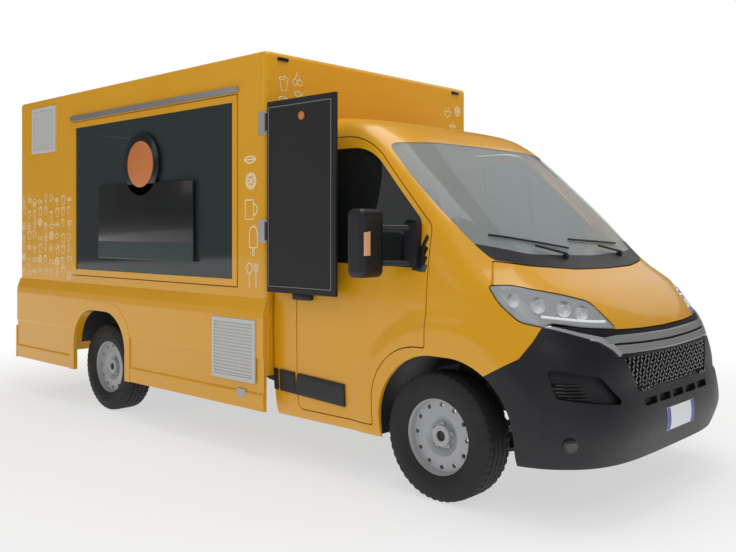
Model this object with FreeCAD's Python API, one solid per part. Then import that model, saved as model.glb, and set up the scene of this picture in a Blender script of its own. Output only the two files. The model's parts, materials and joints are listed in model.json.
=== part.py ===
import FreeCAD, Part
import math
import os

from FreeCAD import Vector

# A food truck: a van chassis cab with a square sales body behind it.
# Millimetres.  +X is forward, +Y is the left side, +Z is up, and the origin lies on the
# ground under the middle of the overall length.

# ---------------------------------------------------------------- driving dimensions
WHEELBASE = 3450.0
FRONT_OVERHANG = 948.0
REAR_OVERHANG = 1434.0
FRONT_AXLE_X = (WHEELBASE + REAR_OVERHANG - FRONT_OVERHANG) / 2
REAR_AXLE_X = FRONT_AXLE_X - WHEELBASE
FRONT_X = FRONT_AXLE_X + FRONT_OVERHANG
REAR_X = REAR_AXLE_X - REAR_OVERHANG

TYRE_RADIUS = 354.0
TYRE_WIDTH = 225.0
RIM_RADIUS = 220.5
RIM_WIDTH = 176.0
RIM_SEAT_RADIUS = 205.0
FRONT_TRACK = 1810.0
REAR_TRACK = 1790.0
STUD_CIRCLE = 130.0
STUD_COUNT = 5
VENT_COUNT = 12
STUB_RADIUS = 30.0
RUNNING_CLEARANCE = 0.06

BOX_WIDTH = 2170.0
BOX_TOP = 2655.0
BOX_WALL = 40.0
BOX_FRONT_X = FRONT_AXLE_X - 1338.0
BOX_REAR_X = REAR_AXLE_X - 1400.0
BOX_EDGE_RADIUS = 30.0
BOX_FLOOR_TOP = 600.0
BOX_FLOOR_THICK = 60.0

SKIRT_WIDTH = 2236.0
SKIRT_TOP = 1040.0
SKIRT_SHOULDER = 950.0
SKIRT_WAIST = 650.0
SKIRT_BOTTOM = 310.0
SKIRT_THICK = 24.0

RAIL_HEIGHT = 120.0
RAIL_WIDTH = 60.0
RAIL_GAUGE = 820.0
RAIL_TOP = BOX_FLOOR_TOP - BOX_FLOOR_THICK

HATCH_REAR_X = -1897.0
HATCH_FRONT_X = 343.0
HATCH_BOTTOM = 1100.0
HATCH_TOP = 2402.0
HATCH_FRAME = 55.0
HATCH_THICK = 34.0
HATCH_GLASS = 6.0

REAR_DOOR_WIDTH = 720.0
REAR_DOOR_BOTTOM = 640.0
REAR_DOOR_TOP = 2420.0

BOARD_LENGTH = 620.0
BOARD_BOTTOM = 1092.0
BOARD_TOP = 2303.0
BOARD_THICK = 18.0

CAB_REAR_X = BOX_FRONT_X + 15.0
CAB_BOTTOM = 286.0
CAB_WALL = 40.0
DOOR_THICK = 65.0
PANEL_THICK = 26.0
REAR_WALL_THICK = 30.0
CAB_FLOOR_TOP = 590.0
CAB_FLOOR_THICK = 30.0
GLASS_THICK = 5.0
GLASS_INSET = 16.0

ARCH_CENTRE_X = FRONT_AXLE_X + 47.0
ARCH_HALF = 452.0
ARCH_TOP = 802.0
ARCH_CORNER = 400.0
ARCH_SWELL = 16.0
ARCH_SWELL_INNER = 590.0
ARCH_SWELL_OUTER = 700.0

DOOR_REAR_X = 865.0
DOOR_FRONT_X = 1908.0
DOOR_BOTTOM = 355.0
DOOR_TOP = 2064.0
DOOR_HINGE_Y = 1045.0

SHUT_GAP = 5.0
MOVING_GAP = 7.0
STRUT_HOLE_RADIUS = 80.0
LENS_THICK = 4.0

BONNET_HINGE = (2236.0, 1334.0)
STEER_FOOT = (820.0, 200.0)
STEER_HEAD = (665.0, 850.0)

BOARD_HINGE_X = BOX_FRONT_X + 44.0
BOARD_HINGE_Y = SKIRT_WIDTH / 2 - 2.0
REAR_ARCH_X = REAR_AXLE_X + 60.0
SLOT_COUNT = 5
SLOT_LENGTH = 140.0
SLOT_PITCH = 170.0

LEG_PIVOT_Z = 330.0
LEG_LENGTH = 300.0

FAR = 6000.0


# ---------------------------------------------------------------- small tools
def block(x0, x1, y0, y1, z0, z1):
    return Part.makeBox(x1 - x0, y1 - y0, z1 - z0, Vector(x0, y0, z0))


def mirrored(shape):
    """The same shape on the other side of the vehicle."""
    return shape.mirror(Vector(0, 0, 0), Vector(0, 1, 0))


def both_sides(shape):
    return [shape, mirrored(shape)]


def cylinder(radius, start, end):
    axis = Vector(*end) - Vector(*start)
    return Part.makeCylinder(radius, axis.Length, Vector(*start), axis)


def outline_face(points, place):
    """A flat face through points (a, b) or (a, b, radius); place maps (a, b) to a Vector."""
    count = len(points)
    edges = []
    ends = []
    for i in range(count):
        corner = points[i]
        if len(corner) < 3:
            ends.append((corner[:2], corner[:2], None))
            continue
        before = points[i - 1]
        after = points[(i + 1) % count]
        to_before = (before[0] - corner[0], before[1] - corner[1])
        to_after = (after[0] - corner[0], after[1] - corner[1])
        len_before = math.hypot(*to_before)
        len_after = math.hypot(*to_after)
        u = (to_before[0] / len_before, to_before[1] / len_before)
        v = (to_after[0] / len_after, to_after[1] / len_after)
        half = math.acos(max(-1.0, min(1.0, u[0] * v[0] + u[1] * v[1]))) / 2
        reach = corner[2] / math.tan(half)
        start = (corner[0] + u[0] * reach, corner[1] + u[1] * reach)
        end = (corner[0] + v[0] * reach, corner[1] + v[1] * reach)
        bisector = (u[0] + v[0], u[1] + v[1])
        scale = (corner[2] / math.sin(half) - corner[2]) / math.hypot(*bisector)
        middle = (corner[0] + bisector[0] * scale, corner[1] + bisector[1] * scale)
        ends.append((start, end, middle))
    for i in range(count):
        start, end, middle = ends[i]
        if middle is not None:
            edges.append(Part.Arc(place(*start), place(*middle), place(*end)).toShape())
        following = ends[(i + 1) % count][0]
        if math.hypot(following[0] - end[0], following[1] - end[1]) > 1e-6:
            edges.append(Part.LineSegment(place(*end), place(*following)).toShape())
    return Part.Face(Part.Wire(edges))


def side_prism(points, y0, y1):
    """An outline of (x, z) points pulled along Y."""
    face = outline_face(points, lambda a, b: Vector(a, y0, b))
    return face.extrude(Vector(0, y1 - y0, 0))


def front_prism(points, x0, x1):
    """An outline of (y, z) points pulled along X."""
    face = outline_face(points, lambda a, b: Vector(x0, a, b))
    return face.extrude(Vector(x1 - x0, 0, 0))


def plan_prism(points, z0, z1):
    """An outline of (x, y) points pulled along Z."""
    face = outline_face(points, lambda a, b: Vector(a, b, z0))
    return face.extrude(Vector(0, 0, z1 - z0))


def both_halves(points):
    """A closed outline from its right half, given as (distance from the middle, height)."""
    far_half = [(-p[0],) + tuple(p[1:]) for p in reversed(points) if p[0] > 0]
    return list(points) + far_half


def rounded_rectangle(a0, a1, b0, b1, radius):
    return [(a0, b0, radius), (a1, b0, radius), (a1, b1, radius), (a0, b1, radius)]


def grown(face, distance):
    return face.makeOffset2D(distance)


def bonnet_prism(gap):
    """The bonnet's outline, with a gap round it, pulled forward from behind the bonnet."""
    start = FRONT_AXLE_X + 150
    face = outline_face(both_halves(bonnet_outline()), lambda a, b: Vector(start, a, b))
    if gap:
        face = grown(face, gap)
    return face.extrude(Vector(FRONT_X + 60 - start, 0, 0))


def save(name, shapes):
    """One node: its separate closed solids in one file."""
    if not isinstance(shapes, (list, tuple)):
        shapes = [shapes]
    solids = [solid for shape in shapes for solid in shape.Solids if solid.Volume > 1000.0]
    body = solids[0] if len(solids) == 1 else Part.makeCompound(solids)
    os.makedirs("parts", exist_ok=True)
    body.exportStep("parts/" + name + ".step")
    bounds = body.BoundBox
    print("%-22s solids %2d  valid %s  litres %8.2f  x %.0f..%.0f y %.0f..%.0f z %.0f..%.0f" % (
        name, len(solids), body.isValid(), body.Volume / 1e6, bounds.XMin, bounds.XMax,
        bounds.YMin, bounds.YMax, bounds.ZMin, bounds.ZMax))
    return body


# ---------------------------------------------------------------- cab form
# The cab's outer form is a stack of level slices.  Each height has the reach of the nose on
# the centreline, a half width, the station where the side starts to turn in, and how square
# the turn is, across and along.
def smooth(table):
    """A curve through (height, value) pairs that never swings past them."""
    xs = [row[0] for row in table]
    ys = [row[1] for row in table]
    last = len(xs) - 1
    steps = [xs[i + 1] - xs[i] for i in range(last)]
    slopes = [(ys[i + 1] - ys[i]) / steps[i] for i in range(last)]
    tangents = [slopes[0]] + [0.0] * (last - 1) + [slopes[-1]]
    for i in range(1, last):
        if slopes[i - 1] * slopes[i] > 0:
            left = 2 * steps[i] + steps[i - 1]
            right = steps[i] + 2 * steps[i - 1]
            tangents[i] = (left + right) / (left / slopes[i - 1] + right / slopes[i])

    def value(x):
        if x <= xs[0]:
            return ys[0]
        if x >= xs[-1]:
            return ys[-1]
        i = max(k for k in range(last) if xs[k] <= x)
        t = (x - xs[i]) / steps[i]
        return ((1 + 2 * t) * (1 - t) ** 2 * ys[i] + t * (1 - t) ** 2 * steps[i] * tangents[i]
                + t * t * (3 - 2 * t) * ys[i + 1] + t * t * (t - 1) * steps[i] * tangents[i + 1])
    return value


# (height, distance of the nose ahead of the front axle)
nose_reach = smooth([(250, 878), (330, 912), (450, 944), (590, 924), (640, 910), (840, 884), (945, 837),
                     (1040, 777), (1150, 667), (1262, 487), (1400, 317), (1600, 92), (1800, -131),
                     (1950, -300), (2038, -402), (2100, -493), (2150, -583), (2190, -728),
                     (2220, -918), (2238, -1108), (2245, -1248)])
half_width = smooth([(250, 960), (330, 1000), (450, 1015), (700, 1024), (950, 1026), (1100, 1022),
                     (1290, 1004), (1600, 968), (1800, 938), (1950, 908), (2035, 885), (2100, 860),
                     (2150, 828), (2190, 780), (2220, 700), (2238, 560), (2245, 400)])
turn_start = smooth([(250, 132), (640, 132), (950, 112), (1100, 32), (1290, -168), (1600, -418),
                     (2038, -818), (2150, -968), (2245, -1310)])
square_across = smooth([(250, 4.2), (640, 4.4), (945, 3.4), (1290, 3.0), (1600, 4.0), (2038, 4.4),
                        (2245, 3.4)])
square_along = smooth([(250, 3.4), (640, 3.1), (945, 2.6), (1290, 3.8), (1600, 4.6), (2245, 4.6)])

SLICE_HEIGHTS = [260, 300, 345, 390, 435, 480, 525, 570, 615, 660, 705, 750, 795, 840, 885, 930, 975, 1020,
                 1070, 1120, 1175, 1230, 1290, 1360, 1440, 1520, 1600, 1680, 1760, 1840, 1910, 1970,
                 2020, 2060, 2100, 2135, 2165, 2190, 2210, 2225, 2236]
STRAIGHT_STEPS = 26
TURN_STEPS = 16


def ramp(value, low, high):
    """0 below low, 1 above high, straight between."""
    return max(0.0, min(1.0, (value - low) / (high - low)))


def slice_points(height, inset, rear_x):
    """Half of one level slice, from the rear along the left side to the centreline."""
    roof = ramp(height, 1980.0, 2210.0)
    lean = (1.0 + 0.42 * ramp(height, 900.0, 1100.0)) * (1.0 - roof)
    side = 1.0 - roof
    reach = FRONT_AXLE_X + nose_reach(height) - inset * lean
    width = half_width(height) - inset * side
    start = max(FRONT_AXLE_X + turn_start(height) - inset * side, rear_x + 12.0)
    reach = max(reach, start + 25.0)
    across = square_across(height)
    along = square_along(height)
    points = []
    for i in range(STRAIGHT_STEPS):
        x = rear_x + (start - rear_x) * i / STRAIGHT_STEPS
        points.append((x, width + arch_swell(x, height)))
    for i in range(TURN_STEPS + 1):
        angle = math.pi / 2 * i / TURN_STEPS
        x = start + (reach - start) * math.sin(angle) ** (2 / along)
        share = math.cos(angle) ** (2 / across) if i < TURN_STEPS else 0.0
        points.append((x, width * share + arch_swell(x, height) * share ** 6))
    return points


def arch_swell(x, height):
    """How far the side swells out round the front wheel arch."""
    radius = math.hypot(x - ARCH_CENTRE_X, height - TYRE_RADIUS)
    t = ramp(radius, ARCH_SWELL_INNER, ARCH_SWELL_OUTER)
    return ARCH_SWELL * (1.0 - t * t * (3 - 2 * t))


def cab_form(inset, rear_x=CAB_REAR_X):
    """A closed solid of the cab's outer form, drawn in by inset."""
    rows = []
    top = SLICE_HEIGHTS[-1] - 3 - inset
    for height in SLICE_HEIGHTS:
        level = height - inset * ramp(height, 1900.0, 2210.0)
        half = slice_points(height, inset, rear_x - 80)
        row = [Vector(x, y, level) for x, y in half]
        row += [Vector(x, -y, level) for x, y in reversed(half[:-1])]
        rows.append(row)
    surface = Part.BSplineSurface()
    surface.interpolate(rows)
    skin = surface.toShape()
    stock = block(rear_x, FRONT_X + 60, -1200, 1200, SLICE_HEIGHTS[0] + 2, top)
    pieces = stock.generalFuse([skin])[0].Solids
    return max(pieces, key=lambda piece: piece.isInside(Vector(1500, 0, 1200), 1.0, True))


def arch_outline(grow=0.0):
    """The front wheel arch in side view, open at the bottom."""
    half = ARCH_HALF + grow
    corner = ARCH_CORNER + grow
    return [(ARCH_CENTRE_X - half, 60.0), (ARCH_CENTRE_X - half, ARCH_TOP + grow, corner),
            (ARCH_CENTRE_X + half, ARCH_TOP + grow, corner), (ARCH_CENTRE_X + half, 60.0)]


def door_outline():
    """The right-hand or left-hand cab door in side view."""
    return [(DOOR_REAR_X, DOOR_BOTTOM, 40), (1505, DOOR_BOTTOM, 15), (1510, 841, 350),
            (DOOR_FRONT_X, 843, 12), (DOOR_FRONT_X, 1507, 90), (1352, DOOR_TOP, 500),
            (DOOR_REAR_X, DOOR_TOP, 60)]


def window_outline():
    """The door's window in side view."""
    return [(945, 1292, 50), (1840, 1275, 40), (1838, 1545, 60), (1388, 1992, 380), (945, 1992, 50)]


def screen_outline():
    """The opening for windscreen and cowl in front view, right half."""
    return [(0, 1262), (340, 1267, 900), (676, 1293, 500), (856, 1325, 40), (875, 1375, 300),
            (893, 1450, 600), (905, 1590, 900), (894, 1800, 900), (850, 2010, 60), (500, 2032), (0, 2036)]


def cowl_outline():
    """The part of that opening that the black cowl fills."""
    return [(0, 1200), (1000, 1200), (1000, 1412), (880, 1412), (600, 1352, 600), (0, 1334)]


def bonnet_outline():
    return [(0, 953), (270, 957, 900), (498, 966, 8), (560, 1000), (700, 1080), (935, 1165), (945, 1203),
            (860, 1316, 15), (676, 1288, 500), (340, 1262, 900), (0, 1257)]


def headlamp_outline():
    """The headlamp looked at along its corner's diagonal: (distance along the diagonal, height)."""
    return [(934, 1194, 10), (1042, 1197, 300), (1315, 1146, 600), (1470, 1108, 120), (1606, 968, 8),
            (1385, 989, 300), (1235, 1012, 80), (1188, 992, 20), (1070, 1016, 120), (972, 1112, 200)]


def grille_outline():
    return [(0, 948), (270, 952, 900), (495, 961), (560, 974), (726, 985), (880, 1000, 4), (884, 990, 4),
            (751, 942, 300), (659, 908, 150), (600, 868, 60), (566, 835, 40), (445, 643, 30), (0, 633)]


def mesh_outline():
    """The lower part of the grille, where the mesh is."""
    return [(0, 822), (535, 822, 10), (437, 653, 25), (0, 645)]


def intake_outline():
    """The intake at each bumper corner, along the diagonal."""
    return [(1186, 786, 20), (1300, 776, 200), (1467, 742, 60), (1610, 595, 15), (1398, 621, 300),
            (1225, 645, 30)]


def diagonal_prism(points, grow=0.0):
    """An outline at the right front corner, pulled square to the corner's diagonal."""
    root = math.sqrt(0.5)
    near = 1200.0

    def place(s, z):
        return Vector(s * root + near * root, s * root - near * root, z)
    face = outline_face(points, place)
    if grow:
        face = grown(face, grow)
    length = 1500.0
    prism = face.extrude(Vector(length * root, -length * root, 0))
    return prism


# ---------------------------------------------------------------- cab panels
def build_cab():
    """Every panel of the cab, cut from skins of the right thickness."""
    outer = cab_form(0.0)
    skins = {}
    for name, thick in (("panel", PANEL_THICK), ("wall", CAB_WALL), ("door", DOOR_THICK)):
        inner = cab_form(thick, CAB_REAR_X + REAR_WALL_THICK)
        well = inner.fuse(inner.translated(Vector(0, 0, -60)))
        skins[name] = outer.cut(well)
    under = block(0, FAR, -FAR, FAR, -100, CAB_BOTTOM)
    arch = side_prism(arch_outline(), -FAR, FAR)

    screen = front_prism(both_halves(screen_outline()), FRONT_AXLE_X - 600, FRONT_X)
    cowl_zone = front_prism(both_halves(cowl_outline()), FRONT_AXLE_X - 600, FRONT_X)
    front_zone = side_prism([(1505, 100), (1505, 600), (1700, 1247), (2015, 1247), (2245, 1324), (FRONT_X + 90, 1324),
                             (FRONT_X + 90, 100)], -FAR, FAR)
    bonnet_zone = bonnet_prism(0.0)
    bonnet_room = bonnet_prism(MOVING_GAP)
    grille_zone = front_prism(both_halves(grille_outline()), FRONT_AXLE_X + 500, FRONT_X + 60)
    lamp = diagonal_prism(headlamp_outline())
    lamp_room = diagonal_prism(headlamp_outline(), SHUT_GAP)
    lamp_rooms = Part.makeCompound(both_sides(lamp_room))
    bumper_edge = [(2300, 100), (2300, 727), (2401, 784), (2484, 832), (2535, 915), (2572, 1012),
                   (FRONT_X + 90, 1012), (FRONT_X + 90, 100)]
    bumper_zone = side_prism(bumper_edge, -FAR, FAR)
    bumper_room = side_prism([(x - SHUT_GAP if x < 2600 else x, z) for x, z in bumper_edge], -FAR, FAR)

    door_face = outline_face(door_outline(), lambda a, b: Vector(a, 0, b))
    door_zone = door_face.extrude(Vector(0, FAR, 0))
    door_hole = grown(door_face, MOVING_GAP).extrude(Vector(0, FAR, 0))
    holes = Part.makeCompound(both_sides(door_hole))

    # glass in its grooves
    pane_outer = cab_form(GLASS_INSET)
    pane_inner = cab_form(GLASS_INSET + GLASS_THICK)
    pane_skin = pane_outer.cut(pane_inner)
    window_face = outline_face(window_outline(), lambda a, b: Vector(a, 0, b))
    window_hole = window_face.extrude(Vector(0, FAR, 0))
    pane = pane_skin.common(grown(window_face, 12).extrude(Vector(0, FAR, 0)))
    door = skins["door"].common(door_zone).cut(window_hole).cut(pane)
    for side, shape in zip(("left", "right"), both_sides(door)):
        save("door_" + side, shape)
    for side, shape in zip(("left", "right"), both_sides(pane)):
        save("door_glass_" + side, shape)

    screen_skin = outer.cut(cab_form(7.0))
    screen_piece = screen_skin.common(screen)
    save("windscreen", screen_piece.cut(cowl_zone))
    save("cowl", outer.cut(cab_form(20.0)).common(screen).common(cowl_zone).cut(bonnet_room))

    rail_notch = block(CAB_REAR_X - 5, CAB_REAR_X + REAR_WALL_THICK + 5, -RAIL_GAUGE / 2 - 60, RAIL_GAUGE / 2 + 60, 0,
                       RAIL_TOP + 5)
    wall = skins["wall"].cut(front_zone).cut(screen).cut(holes).cut(under).cut(arch).cut(rail_notch).cut(bonnet_room)
    right_half = biggest(wall.common(block(0, FAR, -FAR, 0, -100, FAR)))
    save("cab_body", right_half.fuse(mirrored(right_half)))

    panels = skins["panel"].common(front_zone).cut(under).cut(arch).cut(screen)
    bonnet = skins["panel"].common(bonnet_zone).cut(lamp_rooms)
    save("bonnet", biggest(bonnet))
    lens_skin = outer.cut(cab_form(LENS_THICK))
    bowl_skin = cab_form(LENS_THICK).cut(cab_form(70.0))
    lens = lens_skin.common(lamp)
    bowl = bowl_skin.common(lamp)
    well = cab_form(LENS_THICK - 1).cut(cab_form(64.0)).common(diagonal_prism(headlamp_outline(), -5.0))
    bowl = bowl.cut(well)
    save("headlamp_lenses", both_sides(biggest(lens)))
    save("headlamp_bowls", both_sides(biggest(bowl)))
    grille = outer.cut(cab_form(22.0)).common(grille_zone).cut(lamp_rooms).cut(bonnet_room)
    recess = outer.cut(cab_form(14.0)).common(front_prism(both_halves(mesh_outline()), FRONT_AXLE_X + 500, FRONT_X + 60))
    save("grille", biggest(grille.cut(recess)))

    bumper_skin = outer.cut(fused_down(cab_form(36.0)))
    bumper = bumper_skin.common(bumper_zone).cut(under).cut(arch).cut(lamp_rooms).cut(bonnet_room)
    bumper = bumper.cut(front_prism(both_halves(grille_outline()), FRONT_AXLE_X + 500, FRONT_X + 60))
    pocket_skin = outer.cut(cab_form(27.0))
    for shape in both_sides(pocket_skin.common(diagonal_prism(intake_outline()))):
        bumper = bumper.cut(shape)
    for i in range(SLOT_COUNT):
        y = (i - (SLOT_COUNT - 1) / 2) * SLOT_PITCH
        slot = front_prism(rounded_rectangle(y - SLOT_LENGTH / 2, y + SLOT_LENGTH / 2, 565, 603, 8), 2500, FRONT_X + 60)
        bumper = bumper.cut(pocket_skin.common(slot))
    save("front_bumper", biggest(bumper))

    liner = side_prism(arch_outline(18.0), 560, 985).cut(side_prism(arch_outline(12.0), 500, 1100))
    liner = liner.common(block(0, FAR, 0, FAR, 300, FAR)).cut(bumper)
    liner = liner.cut(cylinder(STRUT_HOLE_RADIUS, strut_point(300), strut_point(1000)))
    save("front_arch_liners", both_sides(biggest(liner)))

    wing_zone = block(1500, 2700, 0, FAR, 0, 1400)
    wing = panels.cut(bumper_room).cut(lamp_rooms).cut(holes)
    wing = wing.cut(bonnet_room).cut(grille_zone).common(wing_zone)
    wing = biggest(wing)
    for side, shape in zip(("left", "right"), both_sides(wing)):
        save("front_wing_" + side, shape)
    return outer


def fused_down(shape):
    return shape.fuse(shape.translated(Vector(0, 0, -60)))


def biggest(shape):
    return max(shape.Solids, key=lambda solid: solid.Volume)


# ---------------------------------------------------------------- wheels
def wheel_profile(points, centre):
    """A closed profile of (radius, offset) points spun about the wheel's axle."""
    x, y, z = centre
    edges = Part.makePolygon([Vector(x + r, y + o, z) for r, o in points + points[:1]])
    face = Part.Face(edges)
    return face.revolve(Vector(x, y, z), Vector(0, 1, 0), 360)


def build_wheel(name, axle_x, y_centre):
    """A steel wheel and its tyre; offsets are measured outwards from the tyre's middle."""
    side = 1 if y_centre > 0 else -1
    centre = (axle_x, abs(y_centre), TYRE_RADIUS)
    half = TYRE_WIDTH / 2
    rim_half = RIM_WIDTH / 2
    tread = TYRE_RADIUS
    tyre = wheel_profile([(RIM_SEAT_RADIUS + 3, -rim_half + 12), (RIM_RADIUS + 2, -rim_half + 12),
                          (RIM_RADIUS + 2, -rim_half - 4), (255, -half + 3), (290, -half),
                          (325, -half + 6), (342, -half + 16), (351, -half + 32), (tread, -half + 60),
                          (tread, half - 60), (351, half - 32), (342, half - 16), (325, half - 6),
                          (290, half), (255, half - 3), (RIM_RADIUS + 2, rim_half + 4),
                          (RIM_RADIUS + 2, rim_half - 12), (RIM_SEAT_RADIUS + 3, rim_half - 12)], centre)
    seat = RIM_SEAT_RADIUS
    disc_out = rim_half - 28
    rim = wheel_profile([(STUB_RADIUS + RUNNING_CLEARANCE, disc_out - 42), (72, disc_out - 42),
                         (112, disc_out - 12), (150, disc_out - 16), (seat - 14, disc_out - 50), (seat - 6, disc_out - 50),
                         (seat - 6, -rim_half + 10), (RIM_RADIUS - 3, -rim_half), (RIM_RADIUS, -rim_half + 2),
                         (RIM_RADIUS, -rim_half + 10), (seat + 2.5, -rim_half + 12), (seat + 2.5, rim_half - 12),
                         (RIM_RADIUS, rim_half - 10), (RIM_RADIUS, rim_half - 2), (RIM_RADIUS - 3, rim_half),
                         (seat - 2, rim_half - 10), (seat - 8, rim_half - 36), (150, disc_out - 6), (112, disc_out - 2),
                         (72, disc_out - 30), (62, disc_out - 30), (58, disc_out + 2), (STUB_RADIUS + RUNNING_CLEARANCE, disc_out + 2)],
                        centre)
    for i in range(VENT_COUNT):
        angle = 2 * math.pi * i / VENT_COUNT
        x = axle_x + 172 * math.cos(angle)
        z = TYRE_RADIUS + 172 * math.sin(angle)
        rim = rim.cut(cylinder(13, (x, abs(y_centre) - 120, z), (x, abs(y_centre) + 120, z)))
    for i in range(STUD_COUNT):
        angle = 2 * math.pi * (i + 0.25) / STUD_COUNT
        x = axle_x + STUD_CIRCLE / 2 * math.cos(angle)
        z = TYRE_RADIUS + STUD_CIRCLE / 2 * math.sin(angle)
        base = abs(y_centre) + disc_out - 40
        rim = rim.fuse(Part.makeCylinder(12, 26, Vector(x, base, z), Vector(0, 1, 0)))
    if side < 0:
        tyre = mirrored(tyre)
        rim = mirrored(rim)
    save("tyre_" + name, tyre)
    save("rim_" + name, rim)


def build_running_gear():
    front_y = FRONT_TRACK / 2
    rear_y = REAR_TRACK / 2
    for name, x, y in (("front_left", FRONT_AXLE_X, front_y), ("front_right", FRONT_AXLE_X, -front_y),
                       ("rear_left", REAR_AXLE_X, rear_y), ("rear_right", REAR_AXLE_X, -rear_y)):
        build_wheel(name, x, y)
    hub_in = front_y + RIM_WIDTH / 2 - 28 - 42 - 6
    x = FRONT_AXLE_X
    carrier = cylinder(55, (x, STEER_FOOT[0] - 25, TYRE_RADIUS), (x, hub_in, TYRE_RADIUS))
    stub = cylinder(STUB_RADIUS, (x, hub_in - 5, TYRE_RADIUS), (x, front_y + 50, TYRE_RADIUS))
    fork = block(x - 22, x + 22, STEER_FOOT[0] - 22, STEER_FOOT[0] + 18, STEER_FOOT[1] + 20, TYRE_RADIUS)
    strut = cylinder(24, (x, STEER_FOOT[0] - 33, TYRE_RADIUS + 20), (x, STEER_HEAD[0], STEER_HEAD[1] - 30))
    spring = cylinder(58, strut_point(640), strut_point(800))
    knuckle = carrier.fuse([stub, fork, strut, spring])
    save("knuckle_left", knuckle)
    save("knuckle_right", mirrored(knuckle))

    arms = []
    for shape in both_sides(plan_prism([(x - 30, 850), (x + 30, 850), (x + 60, 560), (x + 150, 380), (x - 150, 380),
                                        (x - 60, 560)], STEER_FOOT[1] - 10, STEER_FOOT[1] + 12)):
        arms.append(shape)
    cradle = block(x - 180, x + 560, -400, 400, 190, 262)
    cradle = cradle.cut(block(x - 90, x + 470, -300, 300, 100, 300))
    posts = [block(x - 180, x - 120, -440, -380, 190, RAIL_TOP - RAIL_HEIGHT), block(x - 180, x - 120, 380, 440, 190, RAIL_TOP - RAIL_HEIGHT)]
    save("front_subframe", cradle.fuse(arms + posts))
    save("engine", block(x + 215, x + 620, -330, 330, 262, 900))

    beam_z = TYRE_RADIUS
    rx = REAR_AXLE_X
    beam = cylinder(38, (rx, -rear_y + 75, beam_z), (rx, rear_y - 75, beam_z))
    stubs = [cylinder(STUB_RADIUS, (rx, rear_y - 80, beam_z), (rx, rear_y + 50, beam_z))]
    stubs.append(mirrored(stubs[0]))
    collars = both_sides(cylinder(60, (rx, rear_y - 90, beam_z), (rx, rear_y + RIM_WIDTH / 2 - 28 - 42 - 6, beam_z)))
    springs = []
    for y0 in (500, -560):
        springs.append(block(rx - 640, rx + 640, y0, y0 + 60, beam_z + 36, beam_z + 62))
        springs.append(block(rx - 60, rx + 60, y0 - 5, y0 + 65, beam_z - 30, beam_z + 70))
    save("rear_axle", beam.fuse(stubs + collars + springs))


def strut_point(height):
    share = (height - STEER_FOOT[1]) / (STEER_HEAD[1] - STEER_FOOT[1])
    return (FRONT_AXLE_X, STEER_FOOT[0] + (STEER_HEAD[0] - STEER_FOOT[0]) * share, height)


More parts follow.
